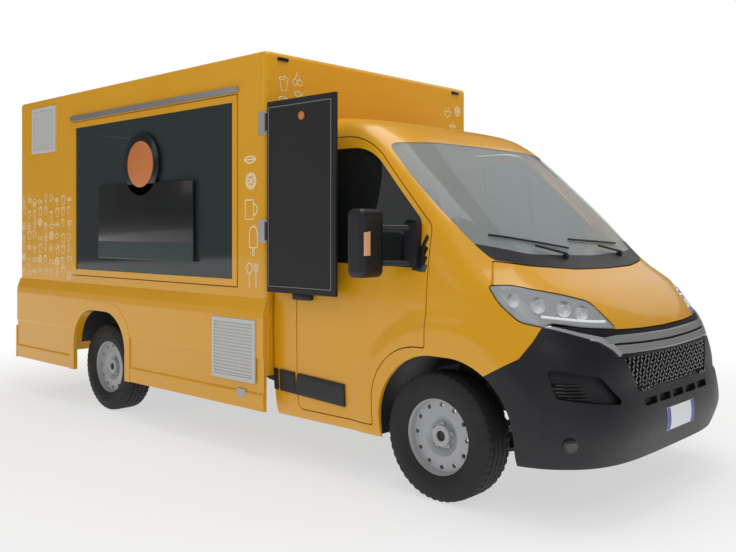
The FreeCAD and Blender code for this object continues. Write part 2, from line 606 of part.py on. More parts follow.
# ---------------------------------------------------------------- frame, floors and inside
def build_frame(brackets):
    half = RAIL_GAUGE / 2
    rails = both_sides(block(REAR_X + 60, FRONT_AXLE_X + 620, half - RAIL_WIDTH / 2, half + RAIL_WIDTH / 2,
                             RAIL_TOP - RAIL_HEIGHT, RAIL_TOP))
    cross = [block(x - 30, x + 30, -half, half, RAIL_TOP - 90, RAIL_TOP - 20)
             for x in (REAR_X + 95, -2000, -700, 100, 900)]
    hangers = []
    for x in (REAR_AXLE_X - 640, REAR_AXLE_X + 600):
        for y0 in (440, -560):
            hangers.append(block(x, x + 40, y0, y0 + 120, TYRE_RADIUS + 62, RAIL_TOP))
    outriggers = [block(x - 25, x + 25, -1060, 1060, RAIL_TOP - 60, RAIL_TOP) for x in (-2700, -2250, -500, 300)]
    save("chassis_frame", rails[0].fuse([rails[1]] + cross + hangers + outriggers + brackets))

    inner = cab_form(CAB_WALL + 0.5, CAB_REAR_X + REAR_WALL_THICK)
    z0 = CAB_FLOOR_TOP - CAB_FLOOR_THICK
    plate = block(CAB_REAR_X + 31, 1495, -1100, 1100, z0, CAB_FLOOR_TOP)
    plate = plate.cut(Part.makeCompound(both_sides(block(850, 1600, 935, 1200, 0, 900))))
    nose = block(1490, 2180, -545, 545, z0, CAB_FLOOR_TOP)
    firewall = block(2150, 2176, -900, 900, 860, 1190).fuse(block(2150, 2176, -545, 545, z0, 870))
    shelf = [block(1960 - 110, 2176, y, y + 340, 852, 866) for y in (-880, 540)]
    rockers = both_sides(block(CAB_REAR_X + 40, 1500, 870, 930, 300, z0 + 5))
    mounts = both_sides(block(CAB_REAR_X + 60, CAB_REAR_X + 160, 380, 440, RAIL_TOP, z0 + 5))
    mounts += both_sides(block(1700, 1800, 380, 440, RAIL_TOP, z0 + 5))
    floor = plate.fuse([nose, firewall] + shelf + rockers + mounts).common(inner)

    dash = side_prism([(1770, 1000, 30), (1750, 1150, 40), (1850, 1205, 60), (2340, 1225), (2340, 1195), (2190, 1195),
                       (2190, 1191), (2148, 1191), (2148, 900), (1950, 900)], -930, 930)
    dash = dash.common(cab_form(48.0)).cut(Part.makeCompound(both_sides(diagonal_prism(headlamp_outline(), SHUT_GAP))))
    wheel_axis = Vector(0.5, 0, 0.866)
    hub = Vector(1640, 400, 1130)
    ring = Part.makeTorus(188, 15, hub, wheel_axis)
    boss = Part.makeCylinder(45, 40, hub - wheel_axis * 45, wheel_axis)
    spokes = [block(-188, 188, -18, 18, -30, -16), block(-18, 18, -188, 0, -30, -16)]
    turned = []
    for spoke in spokes:
        spoke.rotate(Vector(0, 0, 0), Vector(0, 1, 0), 30)
        turned.append(spoke.translated(hub))
    column = Part.makeCylinder(24, 190, hub - wheel_axis * 30, Vector(0.82, 0, -0.57))
    wheel = biggest(ring.fuse([boss, column] + turned))
    save("steering_wheel", wheel)
    save("dashboard", biggest(dash.cut(wheel)))

    frames = []
    seats = (("driver_seat", 440.0, 480.0, (0.0,)), ("passenger_seat", -330.0, 900.0, (-225.0, 225.0)))
    for name, y, width, heads in seats:
        cushion = rounded_block(940, 1450, y - width / 2, y + width / 2, 905, 1010, 40)
        back = rounded_block(-60, 60, -width / 2, width / 2, 0, 560, 40)
        back.rotate(Vector(0, 0, 0), Vector(0, 1, 0), -14)
        back = back.translated(Vector(930, y, 1030))
        parts = [cushion, back]
        for offset in heads:
            head = rounded_block(-45, 45, -130, 130, 0, 190, 35)
            head.rotate(Vector(0, 0, 0), Vector(0, 1, 0), -10)
            parts.append(head.translated(Vector(762, y + offset, 1610)))
            frames.append(cylinder(8, (775, y + offset, 1570), (768, y + offset, 1622)))
        save(name, parts)
        frames.append(block(960, 1420, y - width / 2 + 30, y + width / 2 - 30, CAB_FLOOR_TOP, 904))
    save("cab_floor", floor.fuse([frame for frame in frames if frame.BoundBox.ZLength > 200]))


def rounded_block(x0, x1, y0, y1, z0, z1, radius):
    shape = block(x0, x1, y0, y1, z0, z1)
    return shape.makeFillet(radius, shape.Edges)


# ---------------------------------------------------------------- sales body
def build_box():
    half = BOX_WIDTH / 2
    inner_half = half - BOX_WALL
    shell = block(BOX_REAR_X, BOX_FRONT_X, -half, half, RAIL_TOP, BOX_TOP)
    long_edges = [edge for edge in shell.Edges
                  if edge.BoundBox.ZLength > 1000 or edge.BoundBox.ZMin > BOX_TOP - 1]
    shell = shell.makeFillet(BOX_EDGE_RADIUS, long_edges)
    hollow = block(BOX_REAR_X + BOX_WALL, BOX_FRONT_X - BOX_WALL, -inner_half, inner_half, 0, BOX_TOP - BOX_WALL)
    shell = shell.cut(hollow)
    roof_zone = block(-FAR, FAR, -FAR, FAR, BOX_TOP - BOX_WALL, FAR)
    save("box_roof", shell.common(roof_zone))
    walls = shell.cut(roof_zone)
    arches = side_prism(rear_arch(0.0), -FAR, FAR)
    hatch_hole = block(HATCH_REAR_X, HATCH_FRONT_X, -FAR, 0, HATCH_BOTTOM, HATCH_TOP)
    right = walls.common(block(-FAR, FAR, -FAR, -inner_half, 0, FAR))
    left = walls.common(block(-FAR, FAR, inner_half, FAR, 0, FAR))
    save("box_side_right", right.cut(hatch_hole).cut(arches))
    save("box_side_left", left.cut(arches))
    middle = block(-FAR, FAR, -inner_half, inner_half, 0, FAR)
    front = walls.common(middle).common(block(0, FAR, -FAR, FAR, 0, FAR))
    rear = walls.common(middle).common(block(-FAR, 0, -FAR, FAR, 0, FAR))
    save("box_front_wall", front)
    door_half = REAR_DOOR_WIDTH / 2
    rear = rear.cut(block(-FAR, 0, -door_half - MOVING_GAP, door_half + MOVING_GAP,
                          REAR_DOOR_BOTTOM - MOVING_GAP, REAR_DOOR_TOP + MOVING_GAP))
    save("box_rear_wall", rear)
    save("rear_door", block(BOX_REAR_X, BOX_REAR_X + BOX_WALL - 2, -door_half, door_half, REAR_DOOR_BOTTOM, REAR_DOOR_TOP))

    floor = block(BOX_REAR_X + BOX_WALL, BOX_FRONT_X - BOX_WALL, -inner_half, inner_half, RAIL_TOP, BOX_FLOOR_TOP)
    for shape in both_sides(block(-1900, -1000, 720, inner_half + 5, 0, 900)):
        floor = floor.cut(shape)
    for shape in both_sides(block(-1900, -1000, 720, inner_half, RAIL_TOP, 860)
                            .cut(block(-1875, -1025, 745, inner_half + 5, 0, 835))):
        floor = floor.fuse(shape)
    save("box_floor", floor)

    counter = block(-2300, 560, -inner_half + 1, -560, BOX_FLOOR_TOP, 1060)
    counter = counter.cut(block(-2260, 520, -inner_half + 40, -500, BOX_FLOOR_TOP + 60, 1020))
    counter = counter.cut(Part.makeCompound([block(-1901, -999, -inner_half, -719, 0, 861)]))
    save("service_counter", biggest(counter))

    frame_out = half + 6
    hatch = block(HATCH_REAR_X + MOVING_GAP, HATCH_FRONT_X - MOVING_GAP, -frame_out, -frame_out + HATCH_THICK,
                  HATCH_BOTTOM + MOVING_GAP, HATCH_TOP - MOVING_GAP)
    glass = block(HATCH_REAR_X + HATCH_FRAME - 10, HATCH_FRONT_X - HATCH_FRAME + 10, -frame_out + 8,
                  -frame_out + 8 + HATCH_GLASS, HATCH_BOTTOM + HATCH_FRAME - 10, HATCH_TOP - HATCH_FRAME + 10)
    light = block(HATCH_REAR_X + HATCH_FRAME, HATCH_FRONT_X - HATCH_FRAME, -FAR, 0,
                  HATCH_BOTTOM + HATCH_FRAME, HATCH_TOP - HATCH_FRAME)
    save("service_hatch", hatch.cut(light).cut(glass))
    save("hatch_glass", glass)
    save("hatch_header", block(HATCH_REAR_X - 10, HATCH_FRONT_X + 10, -half - 26, -half, HATCH_TOP + 6, HATCH_TOP + 46))

    louvres = louvre(-2642, -2202, 2173, 2580, half)
    louvres2 = louvre(108, 568, 487, 897, SKIRT_WIDTH / 2)
    save("louvres", [louvres, louvres2])

    board_y = SKIRT_WIDTH / 2
    board = block(BOARD_HINGE_X + 16, BOARD_HINGE_X + 16 + BOARD_LENGTH, -board_y - BOARD_THICK / 2 + 2,
                  -board_y + BOARD_THICK / 2 + 2, BOARD_BOTTOM, BOARD_TOP)
    knuckles = []
    fixed = []
    for z in (1480, 2180):
        knuckles.append(cylinder(7, (BOARD_HINGE_X, -BOARD_HINGE_Y, z - 55), (BOARD_HINGE_X, -BOARD_HINGE_Y, z + 55)))
        knuckles.append(block(BOARD_HINGE_X, BOARD_HINGE_X + 17, -BOARD_HINGE_Y - 3, -BOARD_HINGE_Y + 3, z - 55, z + 55))
        leaf = block(BOX_FRONT_X - 70, BOX_FRONT_X - 8, -half - 5, -half, z - 75, z + 75)
        arm_low = block(BOX_FRONT_X - 20, BOARD_HINGE_X + 7, -half - 14, -half - 3, z - 75, z - 61)
        arm_high = block(BOX_FRONT_X - 20, BOARD_HINGE_X + 7, -half - 14, -half - 3, z + 61, z + 75)
        eyes = [block(BOARD_HINGE_X - 7, BOARD_HINGE_X + 7, -BOARD_HINGE_Y - 7, -half - 8, low, low + 14)
                for low in (z - 75, z + 61)]
        fixed.append(biggest(leaf.fuse([arm_low, arm_high] + eyes)))
    save("menu_board", board.fuse(knuckles))
    save("board_hinges", fixed)


def louvre(x0, x1, z0, z1, wall):
    """A framed vent of sloping slats on the right-hand side, standing 9 mm proud."""
    frame = block(x0, x1, -wall - 9, -wall, z0, z1)
    frame = frame.cut(block(x0 + 28, x1 - 28, -wall - 20, -wall - 3, z0 + 28, z1 - 28))
    count = 16
    pitch = (z1 - z0 - 56) / count
    slats = []
    for i in range(count):
        z = z0 + 28 + pitch * i
        slats.append(block(x0 + 26, x1 - 26, -wall - 8, -wall - 2, z + pitch * 0.25, z + pitch * 0.7))
    return frame.fuse(slats)


def rear_arch(grow):
    return [(REAR_ARCH_X - 400 - grow, 60), (REAR_ARCH_X - 400 - grow, 830 + grow, 300),
            (REAR_ARCH_X + 400 + grow, 830 + grow, 300), (REAR_ARCH_X + 400 + grow, 60)]


def build_skirts():
    wall = BOX_WIDTH / 2
    out = SKIRT_WIDTH / 2
    inner = out - SKIRT_THICK
    section = [(wall, SKIRT_TOP), (out - 4, SKIRT_SHOULDER + 12, 30), (out, SKIRT_SHOULDER - 40, 60), (out, SKIRT_WAIST + 8),
               (out - 7, SKIRT_WAIST - 6), (out - 7, 430), (out + 1, 415), (out - 4, SKIRT_BOTTOM, 8), (inner - 6, SKIRT_BOTTOM),
               (inner - 6, SKIRT_SHOULDER - 30), (wall, SKIRT_SHOULDER - 20)]
    skirt = front_prism(section, REAR_X + 30, BOX_FRONT_X + 12)
    swell = side_prism(rear_arch(70), wall + 1, out + 2).common(block(-FAR, FAR, 0, FAR, SKIRT_BOTTOM, 905))
    skirt = skirt.fuse(swell)
    skirt = skirt.cut(side_prism(rear_arch(0), 0, FAR))
    pads = [block(x - 25, x + 25, 1060, inner - 5, RAIL_TOP - 60, RAIL_TOP) for x in (-2700, -2250, -500, 300)]
    skirt = skirt.fuse(pads)
    save("skirt_left", biggest(skirt))
    save("skirt_right", biggest(mirrored(skirt)))
    bumper = block(REAR_X, REAR_X + 29, -out, out, SKIRT_BOTTOM, 600)
    bumper = bumper.makeFillet(10, [edge for edge in bumper.Edges if abs(edge.BoundBox.XMax - REAR_X) < 0.1])
    stays = both_sides(block(REAR_X + 28, REAR_X + 60, 380, 440, RAIL_TOP - RAIL_HEIGHT, RAIL_TOP))
    save("rear_bumper", biggest(bumper.fuse(stays)))
    lamps = both_sides(block(REAR_X + 2, REAR_X + 30, 900, 1080, 640, 800))
    save("rear_lamps", lamps)

    legs = []
    for name, x in (("front", 250.0), ("rear", -2650.0)):
        for side in (1, -1):
            y = side * 900.0
            direction = -1 if name == "front" else 1
            bracket = [block(x - 30, x + 30, y - 40, y - 22, LEG_PIVOT_Z - 25, RAIL_TOP - 60),
                       block(x - 30, x + 30, y + 22, y + 40, LEG_PIVOT_Z - 25, RAIL_TOP - 60)]
            eye = [plate.cut(cylinder(12 + RUNNING_CLEARANCE, (x, y - 60, LEG_PIVOT_Z), (x, y + 60, LEG_PIVOT_Z)))
                   for plate in bracket]
            top = block(x - 30, x + 30, y - 40, y + 40, RAIL_TOP - 74, RAIL_TOP - 60)
            legs.append(top.fuse(eye))
            pin = cylinder(12, (x, y - 44, LEG_PIVOT_Z), (x, y + 44, LEG_PIVOT_Z))
            start = x
            end = x + direction * LEG_LENGTH
            low, high = min(start, end), max(start, end)
            tube = block(low, high, y - 16, y + 16, LEG_PIVOT_Z - 16, LEG_PIVOT_Z + 16)
            foot = block(end - 6, end + 6, y - 50, y + 50, LEG_PIVOT_Z - 50, LEG_PIVOT_Z + 50)
            save("leg_%s_%s" % (name, "left" if side > 0 else "right"), tube.fuse([pin, foot]))
    return legs


# ---------------------------------------------------------------- mirrors
def build_mirrors():
    housing = rounded_block(1560, 1690, 1110, 1300, 1222, 1605, 38)
    arms = [cylinder(16, (1625, 1150, z), (1800, 1010, z)) for z in (1300, 1500)]
    base = block(1760, 1850, 985, 1030, 1278, 1528)
    mirror = housing.fuse(arms + [base])
    glass_skin = cab_form(0.0)
    mirror = biggest(mirror.cut(glass_skin))
    save("mirror_left", mirror)
    save("mirror_right", mirrored(mirror))


build_cab()
build_running_gear()
build_frame(build_skirts())
build_box()
build_mirrors()
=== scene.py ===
"""A food truck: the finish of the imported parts, and the small pieces that ride on them."""

import json
import math

import bpy
from mathutils import Matrix, Vector
from mathutils.bvhtree import BVHTree


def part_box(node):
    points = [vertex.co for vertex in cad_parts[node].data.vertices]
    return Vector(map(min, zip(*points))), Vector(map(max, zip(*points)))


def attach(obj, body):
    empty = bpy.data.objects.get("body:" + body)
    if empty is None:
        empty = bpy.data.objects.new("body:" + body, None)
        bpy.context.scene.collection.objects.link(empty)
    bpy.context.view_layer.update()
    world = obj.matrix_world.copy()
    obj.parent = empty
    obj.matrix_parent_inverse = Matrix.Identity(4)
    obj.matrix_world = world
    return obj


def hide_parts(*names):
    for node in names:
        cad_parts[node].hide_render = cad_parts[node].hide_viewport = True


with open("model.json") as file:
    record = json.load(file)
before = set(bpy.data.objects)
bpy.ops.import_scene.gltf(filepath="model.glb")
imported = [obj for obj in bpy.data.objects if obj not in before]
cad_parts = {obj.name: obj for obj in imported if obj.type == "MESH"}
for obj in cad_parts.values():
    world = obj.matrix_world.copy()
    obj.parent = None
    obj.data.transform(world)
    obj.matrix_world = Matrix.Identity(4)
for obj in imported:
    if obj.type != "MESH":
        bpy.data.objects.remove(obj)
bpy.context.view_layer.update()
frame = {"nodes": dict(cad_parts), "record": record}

bl_info = {
    "name": "Food Truck",
    "version": (1, 0, 0),
    "blender": (4, 5, 0),
    "location": "View3D > Sidebar > Truck",
    "description": "Finishes a food truck's parts and adds its trim",
    "category": "Object",
}

# ---------------------------------------------------------------- places read from the frame
WALL_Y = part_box("box_side_right")[0][1]
SKIRT_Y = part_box("skirt_right")[0][1]
BOX_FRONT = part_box("box_front_wall")[1][0]
BOX_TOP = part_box("box_roof")[1][2]
RIGHT, LEFT = -1, 1                 # signs of y

# ---------------------------------------------------------------- picture
SENSOR_WIDTH = 36                   # mm
CAMERA_LENS = 41.11                 # mm
CAMERA_SHIFT = -0.0635
CAMERA_PLACE = (4.8195, -4.6235, 1.4911)
CAMERA_HEADING = math.radians(42.88)
FLOOR_SIZE = 60
FADE_FROM, FADE_TO = 2.4, 6.0       # radii between which the floor fades into the backdrop
LAMP_TARGET = Vector((0.3, 0, 1.0))
STAGE_LAMPS = (("key", (6.5, -6.0, 7.5), 4.0, 115), ("side", (-4.0, -8.0, 5.5), 5.0, 50),
               ("far", (2.0, 8.0, 6.0), 6.0, 90), ("top", (1.0, 0.0, 8.5), 6.0, 330))

# ---------------------------------------------------------------- small shapes
PAD_VOXEL = 0.018
TREAD_STEPS = 144                   # points round a tyre
GROOVES = (-0.52, -0.18, 0.18, 0.52)    # shares of a tyre's half width
GROOVE_DEPTH = 0.008
SHOULDER_CUT = 0.006
SIPE_CUT = 0.003
LATTICE_ROWS, LATTICE_COLUMNS = 9, 25
LATTICE_TOP, LATTICE_PITCH = 0.815, 0.0205
LATTICE_LEAN = 38                   # degrees, to each side in turn
DASH_HALF_LENGTH, DASH_HALF_HEIGHT = 0.0125, 0.0042
PLATE_MIDDLE = 0.4585
FIN_ROWS, FIN_POINTS, FIN_PITCH = 5, 9, 0.017
ICON_ROWS, ICON_COLUMNS, ICON_PITCH = 7, 9, 0.1065
ICON_RELIEF = 0.16                  # what is left of an icon's thickness once it is pressed flat
BOARD_RIM = 0.038
# Each wiper's arm and blade, as (y, z) of their ends before they are laid on the glass.
WIPERS = {"right": (((-0.30, 1.335), (-0.52, 1.385)), ((-0.78, 1.455), (-0.20, 1.375))),
          "left": (((0.38, 1.335), (0.16, 1.375)), ((-0.10, 1.425), (0.46, 1.395)))}


class TruckSizes(bpy.types.PropertyGroup):
    """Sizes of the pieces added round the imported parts."""
    line_width: bpy.props.FloatProperty(name="Line width", description="Stroke of the painted line icons",
                                        default=0.011, unit="LENGTH")
    plate_width: bpy.props.FloatProperty(name="Plate width", description="Width of the blank number plate",
                                         default=0.36, unit="LENGTH")
    plate_height: bpy.props.FloatProperty(name="Plate height", description="Height of the blank number plate",
                                          default=0.125, unit="LENGTH")


class TruckColours(bpy.types.PropertyGroup):
    """Main colours."""
    paint: bpy.props.FloatVectorProperty(name="Paint", description="Body paint", subtype="COLOR", size=3,
                                         min=0, max=1, default=(0.80, 0.385, 0.006))
    plastic: bpy.props.FloatVectorProperty(name="Plastic", description="Bumper and mirror plastic",
                                           subtype="COLOR", size=3, min=0, max=1,
                                           default=(0.010, 0.0105, 0.014))
    cream: bpy.props.FloatVectorProperty(name="Icons", description="Painted line icons", subtype="COLOR",
                                         size=3, min=0, max=1, default=(0.92, 0.80, 0.52))
    silver: bpy.props.FloatVectorProperty(name="Wheels", description="Wheel silver", subtype="COLOR",
                                          size=3, min=0, max=1, default=(0.34, 0.35, 0.365))


def sizes():
    return bpy.context.scene.truck_sizes


def colours():
    return bpy.context.scene.truck_colours


# ---------------------------------------------------------------- materials
def grain_group():
    """Shared effect: a mottled mask and a fine height over the surface."""
    group = bpy.data.node_groups.get("surface_grain")
    if group:
        return group
    group = bpy.data.node_groups.new("surface_grain", "ShaderNodeTree")
    face = group.interface
    face.new_socket("Coarse", in_out="INPUT", socket_type="NodeSocketFloat").default_value = 3.0
    face.new_socket("Fine", in_out="INPUT", socket_type="NodeSocketFloat").default_value = 300.0
    face.new_socket("Mask", in_out="OUTPUT", socket_type="NodeSocketFloat")
    face.new_socket("Height", in_out="OUTPUT", socket_type="NodeSocketFloat")
    nodes, links = group.nodes, group.links
    entry = nodes.new("NodeGroupInput")
    leave = nodes.new("NodeGroupOutput")
    place = nodes.new("ShaderNodeTexCoord")
    for socket, output in (("Coarse", "Mask"), ("Fine", "Height")):
        noise = nodes.new("ShaderNodeTexNoise")
        noise.inputs["Detail"].default_value = 6.0
        links.new(place.outputs["Object"], noise.inputs["Vector"])
        links.new(entry.outputs[socket], noise.inputs["Scale"])
        links.new(noise.outputs["Fac"], leave.inputs[output])
    return group


def finish(name, colour, rough=0.5, metal=0.0, coat=0.0, drift=0.06, bump=0.0, coarse=3.0, fine=300.0,
           alpha=1.0, glow=0.0, rough_drift=0.08, sheen=0.0):
    """A procedural finish: the colour and the gloss drift a little and the surface has a fine grain."""
    material = bpy.data.materials.get(name)
    if material:
        return material
    material = bpy.data.materials.new(name)
    material.use_nodes = True
    nodes, links = material.node_tree.nodes, material.node_tree.links
    shader = nodes["Principled BSDF"]
    grain = nodes.new("ShaderNodeGroup")
    grain.node_tree = grain_group()
    grain.inputs["Coarse"].default_value = coarse
    grain.inputs["Fine"].default_value = fine
    tint = nodes.new("ShaderNodeMix")
    tint.data_type = "RGBA"
    dark = tuple(c * (1 - drift) for c in colour)
    light = tuple(min(1.0, c * (1 + drift)) for c in colour)
    tint.inputs["A"].default_value = (*dark, 1)
    tint.inputs["B"].default_value = (*light, 1)
    links.new(grain.outputs["Mask"], tint.inputs["Factor"])
    links.new(tint.outputs["Result"], shader.inputs["Base Color"])
    span = nodes.new("ShaderNodeMapRange")
    span.inputs["To Min"].default_value = max(0.02, rough - rough_drift)
    span.inputs["To Max"].default_value = min(1.0, rough + rough_drift)
    links.new(grain.outputs["Mask"], span.inputs["Value"])
    links.new(span.outputs["Result"], shader.inputs["Roughness"])
    shader.inputs["Metallic"].default_value = metal
    shader.inputs["Coat Weight"].default_value = coat
    shader.inputs["Coat Roughness"].default_value = 0.06
    shader.inputs["Sheen Weight"].default_value = sheen
    shader.inputs["Alpha"].default_value = alpha
    if glow:
        shader.inputs["Emission Color"].default_value = (*colour, 1)
        shader.inputs["Emission Strength"].default_value = glow
    if bump:
        rise = nodes.new("ShaderNodeBump")
        rise.inputs["Strength"].default_value = bump
        rise.inputs["Distance"].default_value = 0.001
        links.new(grain.outputs["Height"], rise.inputs["Height"])
        links.new(rise.outputs["Normal"], shader.inputs["Normal"])
    return material


def paint():
    return finish("yellow_paint", colours().paint, rough=0.34, coat=0.35, drift=0.035, bump=0.02,
                  coarse=1.4, fine=900)


def textured_plastic():
    return finish("textured_plastic", colours().plastic, rough=0.46, drift=0.10, bump=0.25, coarse=5,
                  fine=1400)


def gloss_black():
    return finish("gloss_black", (0.012, 0.012, 0.013), rough=0.16, coat=0.4, drift=0.1, coarse=6)


def chrome():
    return finish("satin_chrome", (0.66, 0.67, 0.69), rough=0.22, metal=0.55, drift=0.04, bump=0.02)


# Door glass: near-black and 86% opaque, a painted shade that stands in for the dark cab interior behind it.
def side_glass_painted_shade():
    return finish("side_glass_painted_shade", (0.012, 0.016, 0.016), rough=0.03, alpha=0.86, drift=0.03, rough_drift=0.01)


def node_finishes():
    """The finish of each carried-over part, by material slot."""
    return {
        "body_yellow": paint(),
        # Windscreen: near-black and 76% opaque, a painted shade that stands in for the dark cab interior
        # behind it.
        "window_glass": finish("window_glass", (0.014, 0.020, 0.019), rough=0.03, alpha=0.76, drift=0.03,
                               rough_drift=0.01),
        "dark_glass": finish("dark_glass", (0.010, 0.013, 0.013), rough=0.05, alpha=0.90, drift=0.1,
                             rough_drift=0.02),
        "lamp_lens": finish("lamp_lens", (0.16, 0.17, 0.18), rough=0.03, alpha=0.20, drift=0.02,
                            rough_drift=0.01),
        "lamp_bowl": gloss_black(),
        "dark_plastic": textured_plastic(),
        "red_lamp": finish("red_lamp", (0.42, 0.012, 0.010), rough=0.12, coat=0.5, drift=0.2, coarse=60),
        "tyre_rubber": finish("tyre_rubber", (0.017, 0.017, 0.018), rough=0.78, drift=0.3, bump=0.5,
                              coarse=9, fine=500),
        "wheel_silver": finish("wheel_silver", colours().silver, rough=0.34, metal=0.65, drift=0.10,
                               bump=0.08, coarse=9, fine=700),
        "black_steel": finish("black_steel", (0.028, 0.028, 0.030), rough=0.55, drift=0.35, bump=0.2,
                              coarse=7, fine=260),
        "cast_iron": finish("cast_iron", (0.10, 0.10, 0.105), rough=0.6, metal=0.5, drift=0.3, bump=0.6,
                            coarse=9, fine=240),
        "leg_zinc": finish("leg_zinc", (0.42, 0.42, 0.43), rough=0.4, metal=0.8, drift=0.2, coarse=12),
        "cab_floor_grey": finish("floor_mat", (0.075, 0.077, 0.08), rough=0.75, drift=0.2, bump=0.5,
                                 coarse=8, fine=420),
        "seat_fabric": finish("seat_fabric", (0.055, 0.057, 0.063), rough=0.9, drift=0.2, bump=0.8,
                              fine=900, sheen=0.3),
        "counter_steel": finish("counter_steel", (0.5, 0.5, 0.51), rough=0.3, metal=0.9, drift=0.1,
                                coarse=5),
        "anodised_aluminium": finish("anodised_aluminium", (0.55, 0.56, 0.57), rough=0.32, metal=0.85,
                                     drift=0.06),
        "louvre_grey": finish("louvre_grey", (0.17, 0.175, 0.175), rough=0.45, drift=0.06, bump=0.1),
        "board_black": finish("chalk_board", (0.009, 0.009, 0.0105), rough=0.55, drift=0.35, bump=0.1,
                              coarse=4),
        "hinge_zinc": finish("hinge_zinc", (0.55, 0.55, 0.56), rough=0.3, metal=0.9, drift=0.15, coarse=20),
    }


def dress(piece, material, body):
    """Finish, body and slot of a new piece."""
    piece.data.materials.clear()
    piece.data.materials.append(material)
    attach(piece, body)
    return piece


# ---------------------------------------------------------------- modelling helpers
def nothing_selected():
    if bpy.context.object and bpy.context.object.mode != "OBJECT":
        bpy.ops.object.mode_set(mode="OBJECT")
    bpy.ops.object.select_all(action="DESELECT")


def pick(piece):
    """Makes a piece the active one and the only one selected."""
    nothing_selected()
    piece.select_set(True)
    bpy.context.view_layer.objects.active = piece


def add_object(name, data):
    piece = bpy.data.objects.new(name, data)
    bpy.context.collection.objects.link(piece)
    return piece


def as_mesh(name, curve):
    """The mesh that a curve makes."""
    pick(add_object(name, curve))
    bpy.ops.object.convert(target="MESH")
    return bpy.context.object


def faces_out(piece, merge=0.0):
    """Merges points closer than merge, and turns the faces outward."""
    pick(piece)
    bpy.ops.object.mode_set(mode="EDIT")
    bpy.ops.mesh.select_all(action="SELECT")
    if merge:
        bpy.ops.mesh.remove_doubles(threshold=merge)
    bpy.ops.mesh.normals_make_consistent(inside=False)
    bpy.ops.object.mode_set(mode="OBJECT")


def settle(piece):
    """Puts a piece's place into its mesh."""
    pick(piece)
    bpy.ops.object.transform_apply(location=True, rotation=True, scale=True)
    return piece


def apply_all(piece):
    pick(piece)
    for modifier in list(piece.modifiers):
        bpy.ops.object.modifier_apply(modifier=modifier.name)
    return piece


def smooth_shade(piece, angle=40.0):
    pick(piece)
    bpy.ops.object.shade_smooth_by_angle(angle=math.radians(angle))
    return piece


def soft_block(name, low, high, bevel, segments=3, turn=None):
    """A block with rounded edges between two corners; turn is (angle, axis letter) about its middle."""
    nothing_selected()
    low, high = Vector(low), Vector(high)
    bpy.ops.mesh.primitive_cube_add(size=1, location=(low + high) / 2)
    piece = bpy.context.object
    piece.name = name
    piece.scale = high - low
    bpy.ops.object.transform_apply(location=False, rotation=False, scale=True)
    if turn:
        piece.rotation_euler["XYZ".index(turn[1])] = turn[0]
    settle(piece)
    rounding = piece.modifiers.new("rounding", "BEVEL")
    rounding.width = bevel
    rounding.segments = segments
    apply_all(piece)
    return smooth_shade(piece)


def joined(name, pieces):
    nothing_selected()
    for piece in pieces:
        piece.select_set(True)
    bpy.context.view_layer.objects.active = pieces[0]
    if len(pieces) > 1:
        bpy.ops.object.join()
    piece = bpy.context.object
    piece.name = name
    return settle(piece)


def bar(name, points, radius, closed=False, sides=4, smooth=False):
    """A round bar that follows points."""
    curve = bpy.data.curves.new(name, "CURVE")
    curve.dimensions = "3D"
    curve.bevel_depth = radius
    curve.bevel_resolution = sides
    curve.use_fill_caps = True
    spline = curve.splines.new("NURBS" if smooth else "POLY")
    spline.points.add(len(points) - 1)
    for point, place in zip(spline.points, points):
        point.co = (*place, 1)
    spline.use_cyclic_u = closed
    if smooth:
        spline.order_u = 3
        spline.use_endpoint_u = not closed
    return smooth_shade(as_mesh(name, curve), 60)


def disc(name, centre, radius, depth, axis, bevel=0.003, sides=40):
    """A short round slab with softened rims, facing along axis."""
    nothing_selected()
    bpy.ops.mesh.primitive_cylinder_add(vertices=sides, radius=radius, depth=depth, location=centre)
    piece = bpy.context.object
    piece.name = name
    piece.rotation_euler = Vector(axis).to_track_quat("Z", "Y").to_euler()
    settle(piece)
    rounding = piece.modifiers.new("rounding", "BEVEL")
    rounding.width = min(bevel, depth * 0.45)
    rounding.segments = 2
    rounding.limit_method = "ANGLE"
    apply_all(piece)
    return smooth_shade(piece)


class SkinProbe:
    """Finds the cab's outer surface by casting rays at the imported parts."""

    def __init__(self, *names):
        points = []
        faces = []
        for name in names:
            mesh = frame["nodes"][name].data
            start = len(points)
            points += [v.co.copy() for v in mesh.vertices]
            faces += [[start + i for i in p.vertices] for p in mesh.polygons]
        self.tree = BVHTree.FromPolygons(points, faces)

    def from_front(self, y, z, lift=0.0):
        hit = self.tree.ray_cast(Vector((3.4, y, z)), Vector((-1, 0, 0)))
        if hit[0] is None:
            return None
        return hit[0] + hit[1].normalized() * lift * (1 if hit[1].x >= 0 else -1)

    def from_side(self, x, z, side, lift=0.0):
        hit = self.tree.ray_cast(Vector((x, side * 1.6, z)), Vector((0, -side, 0)))
        if hit[0] is None:
            return None
        normal = hit[1] if hit[1].y * side > 0 else -hit[1]
        return hit[0] + normal * lift


def mirrored_copy(piece, name):
    """The same piece on the other side."""
    copy = add_object(name, piece.data.copy())
    copy.data.transform(Matrix.Diagonal((1, -1, 1, 1)))
    copy.data.flip_normals()
    return copy


# ---------------------------------------------------------------- stage
def studio_world(scene):
    """White to the camera, dimmer as a light, and dimmer still in reflections."""
    world = bpy.data.worlds.new("studio")
    scene.world = world
    world.use_nodes = True
    nodes, links = world.node_tree.nodes, world.node_tree.links
    back = nodes["Background"]
    back.inputs["Color"].default_value = (1, 1, 1, 1)
    path = nodes.new("ShaderNodeLightPath")
    dim = nodes.new("ShaderNodeMapRange")
    dim.inputs["To Min"].default_value = 0.33
    dim.inputs["To Max"].default_value = 0.10
    full = nodes.new("ShaderNodeMath")
    full.operation = "MAXIMUM"
    links.new(path.outputs["Is Glossy Ray"], dim.inputs["Value"])
    links.new(path.outputs["Is Camera Ray"], full.inputs[0])
    links.new(dim.outputs["Result"], full.inputs[1])
    links.new(full.outputs["Value"], back.inputs["Strength"])


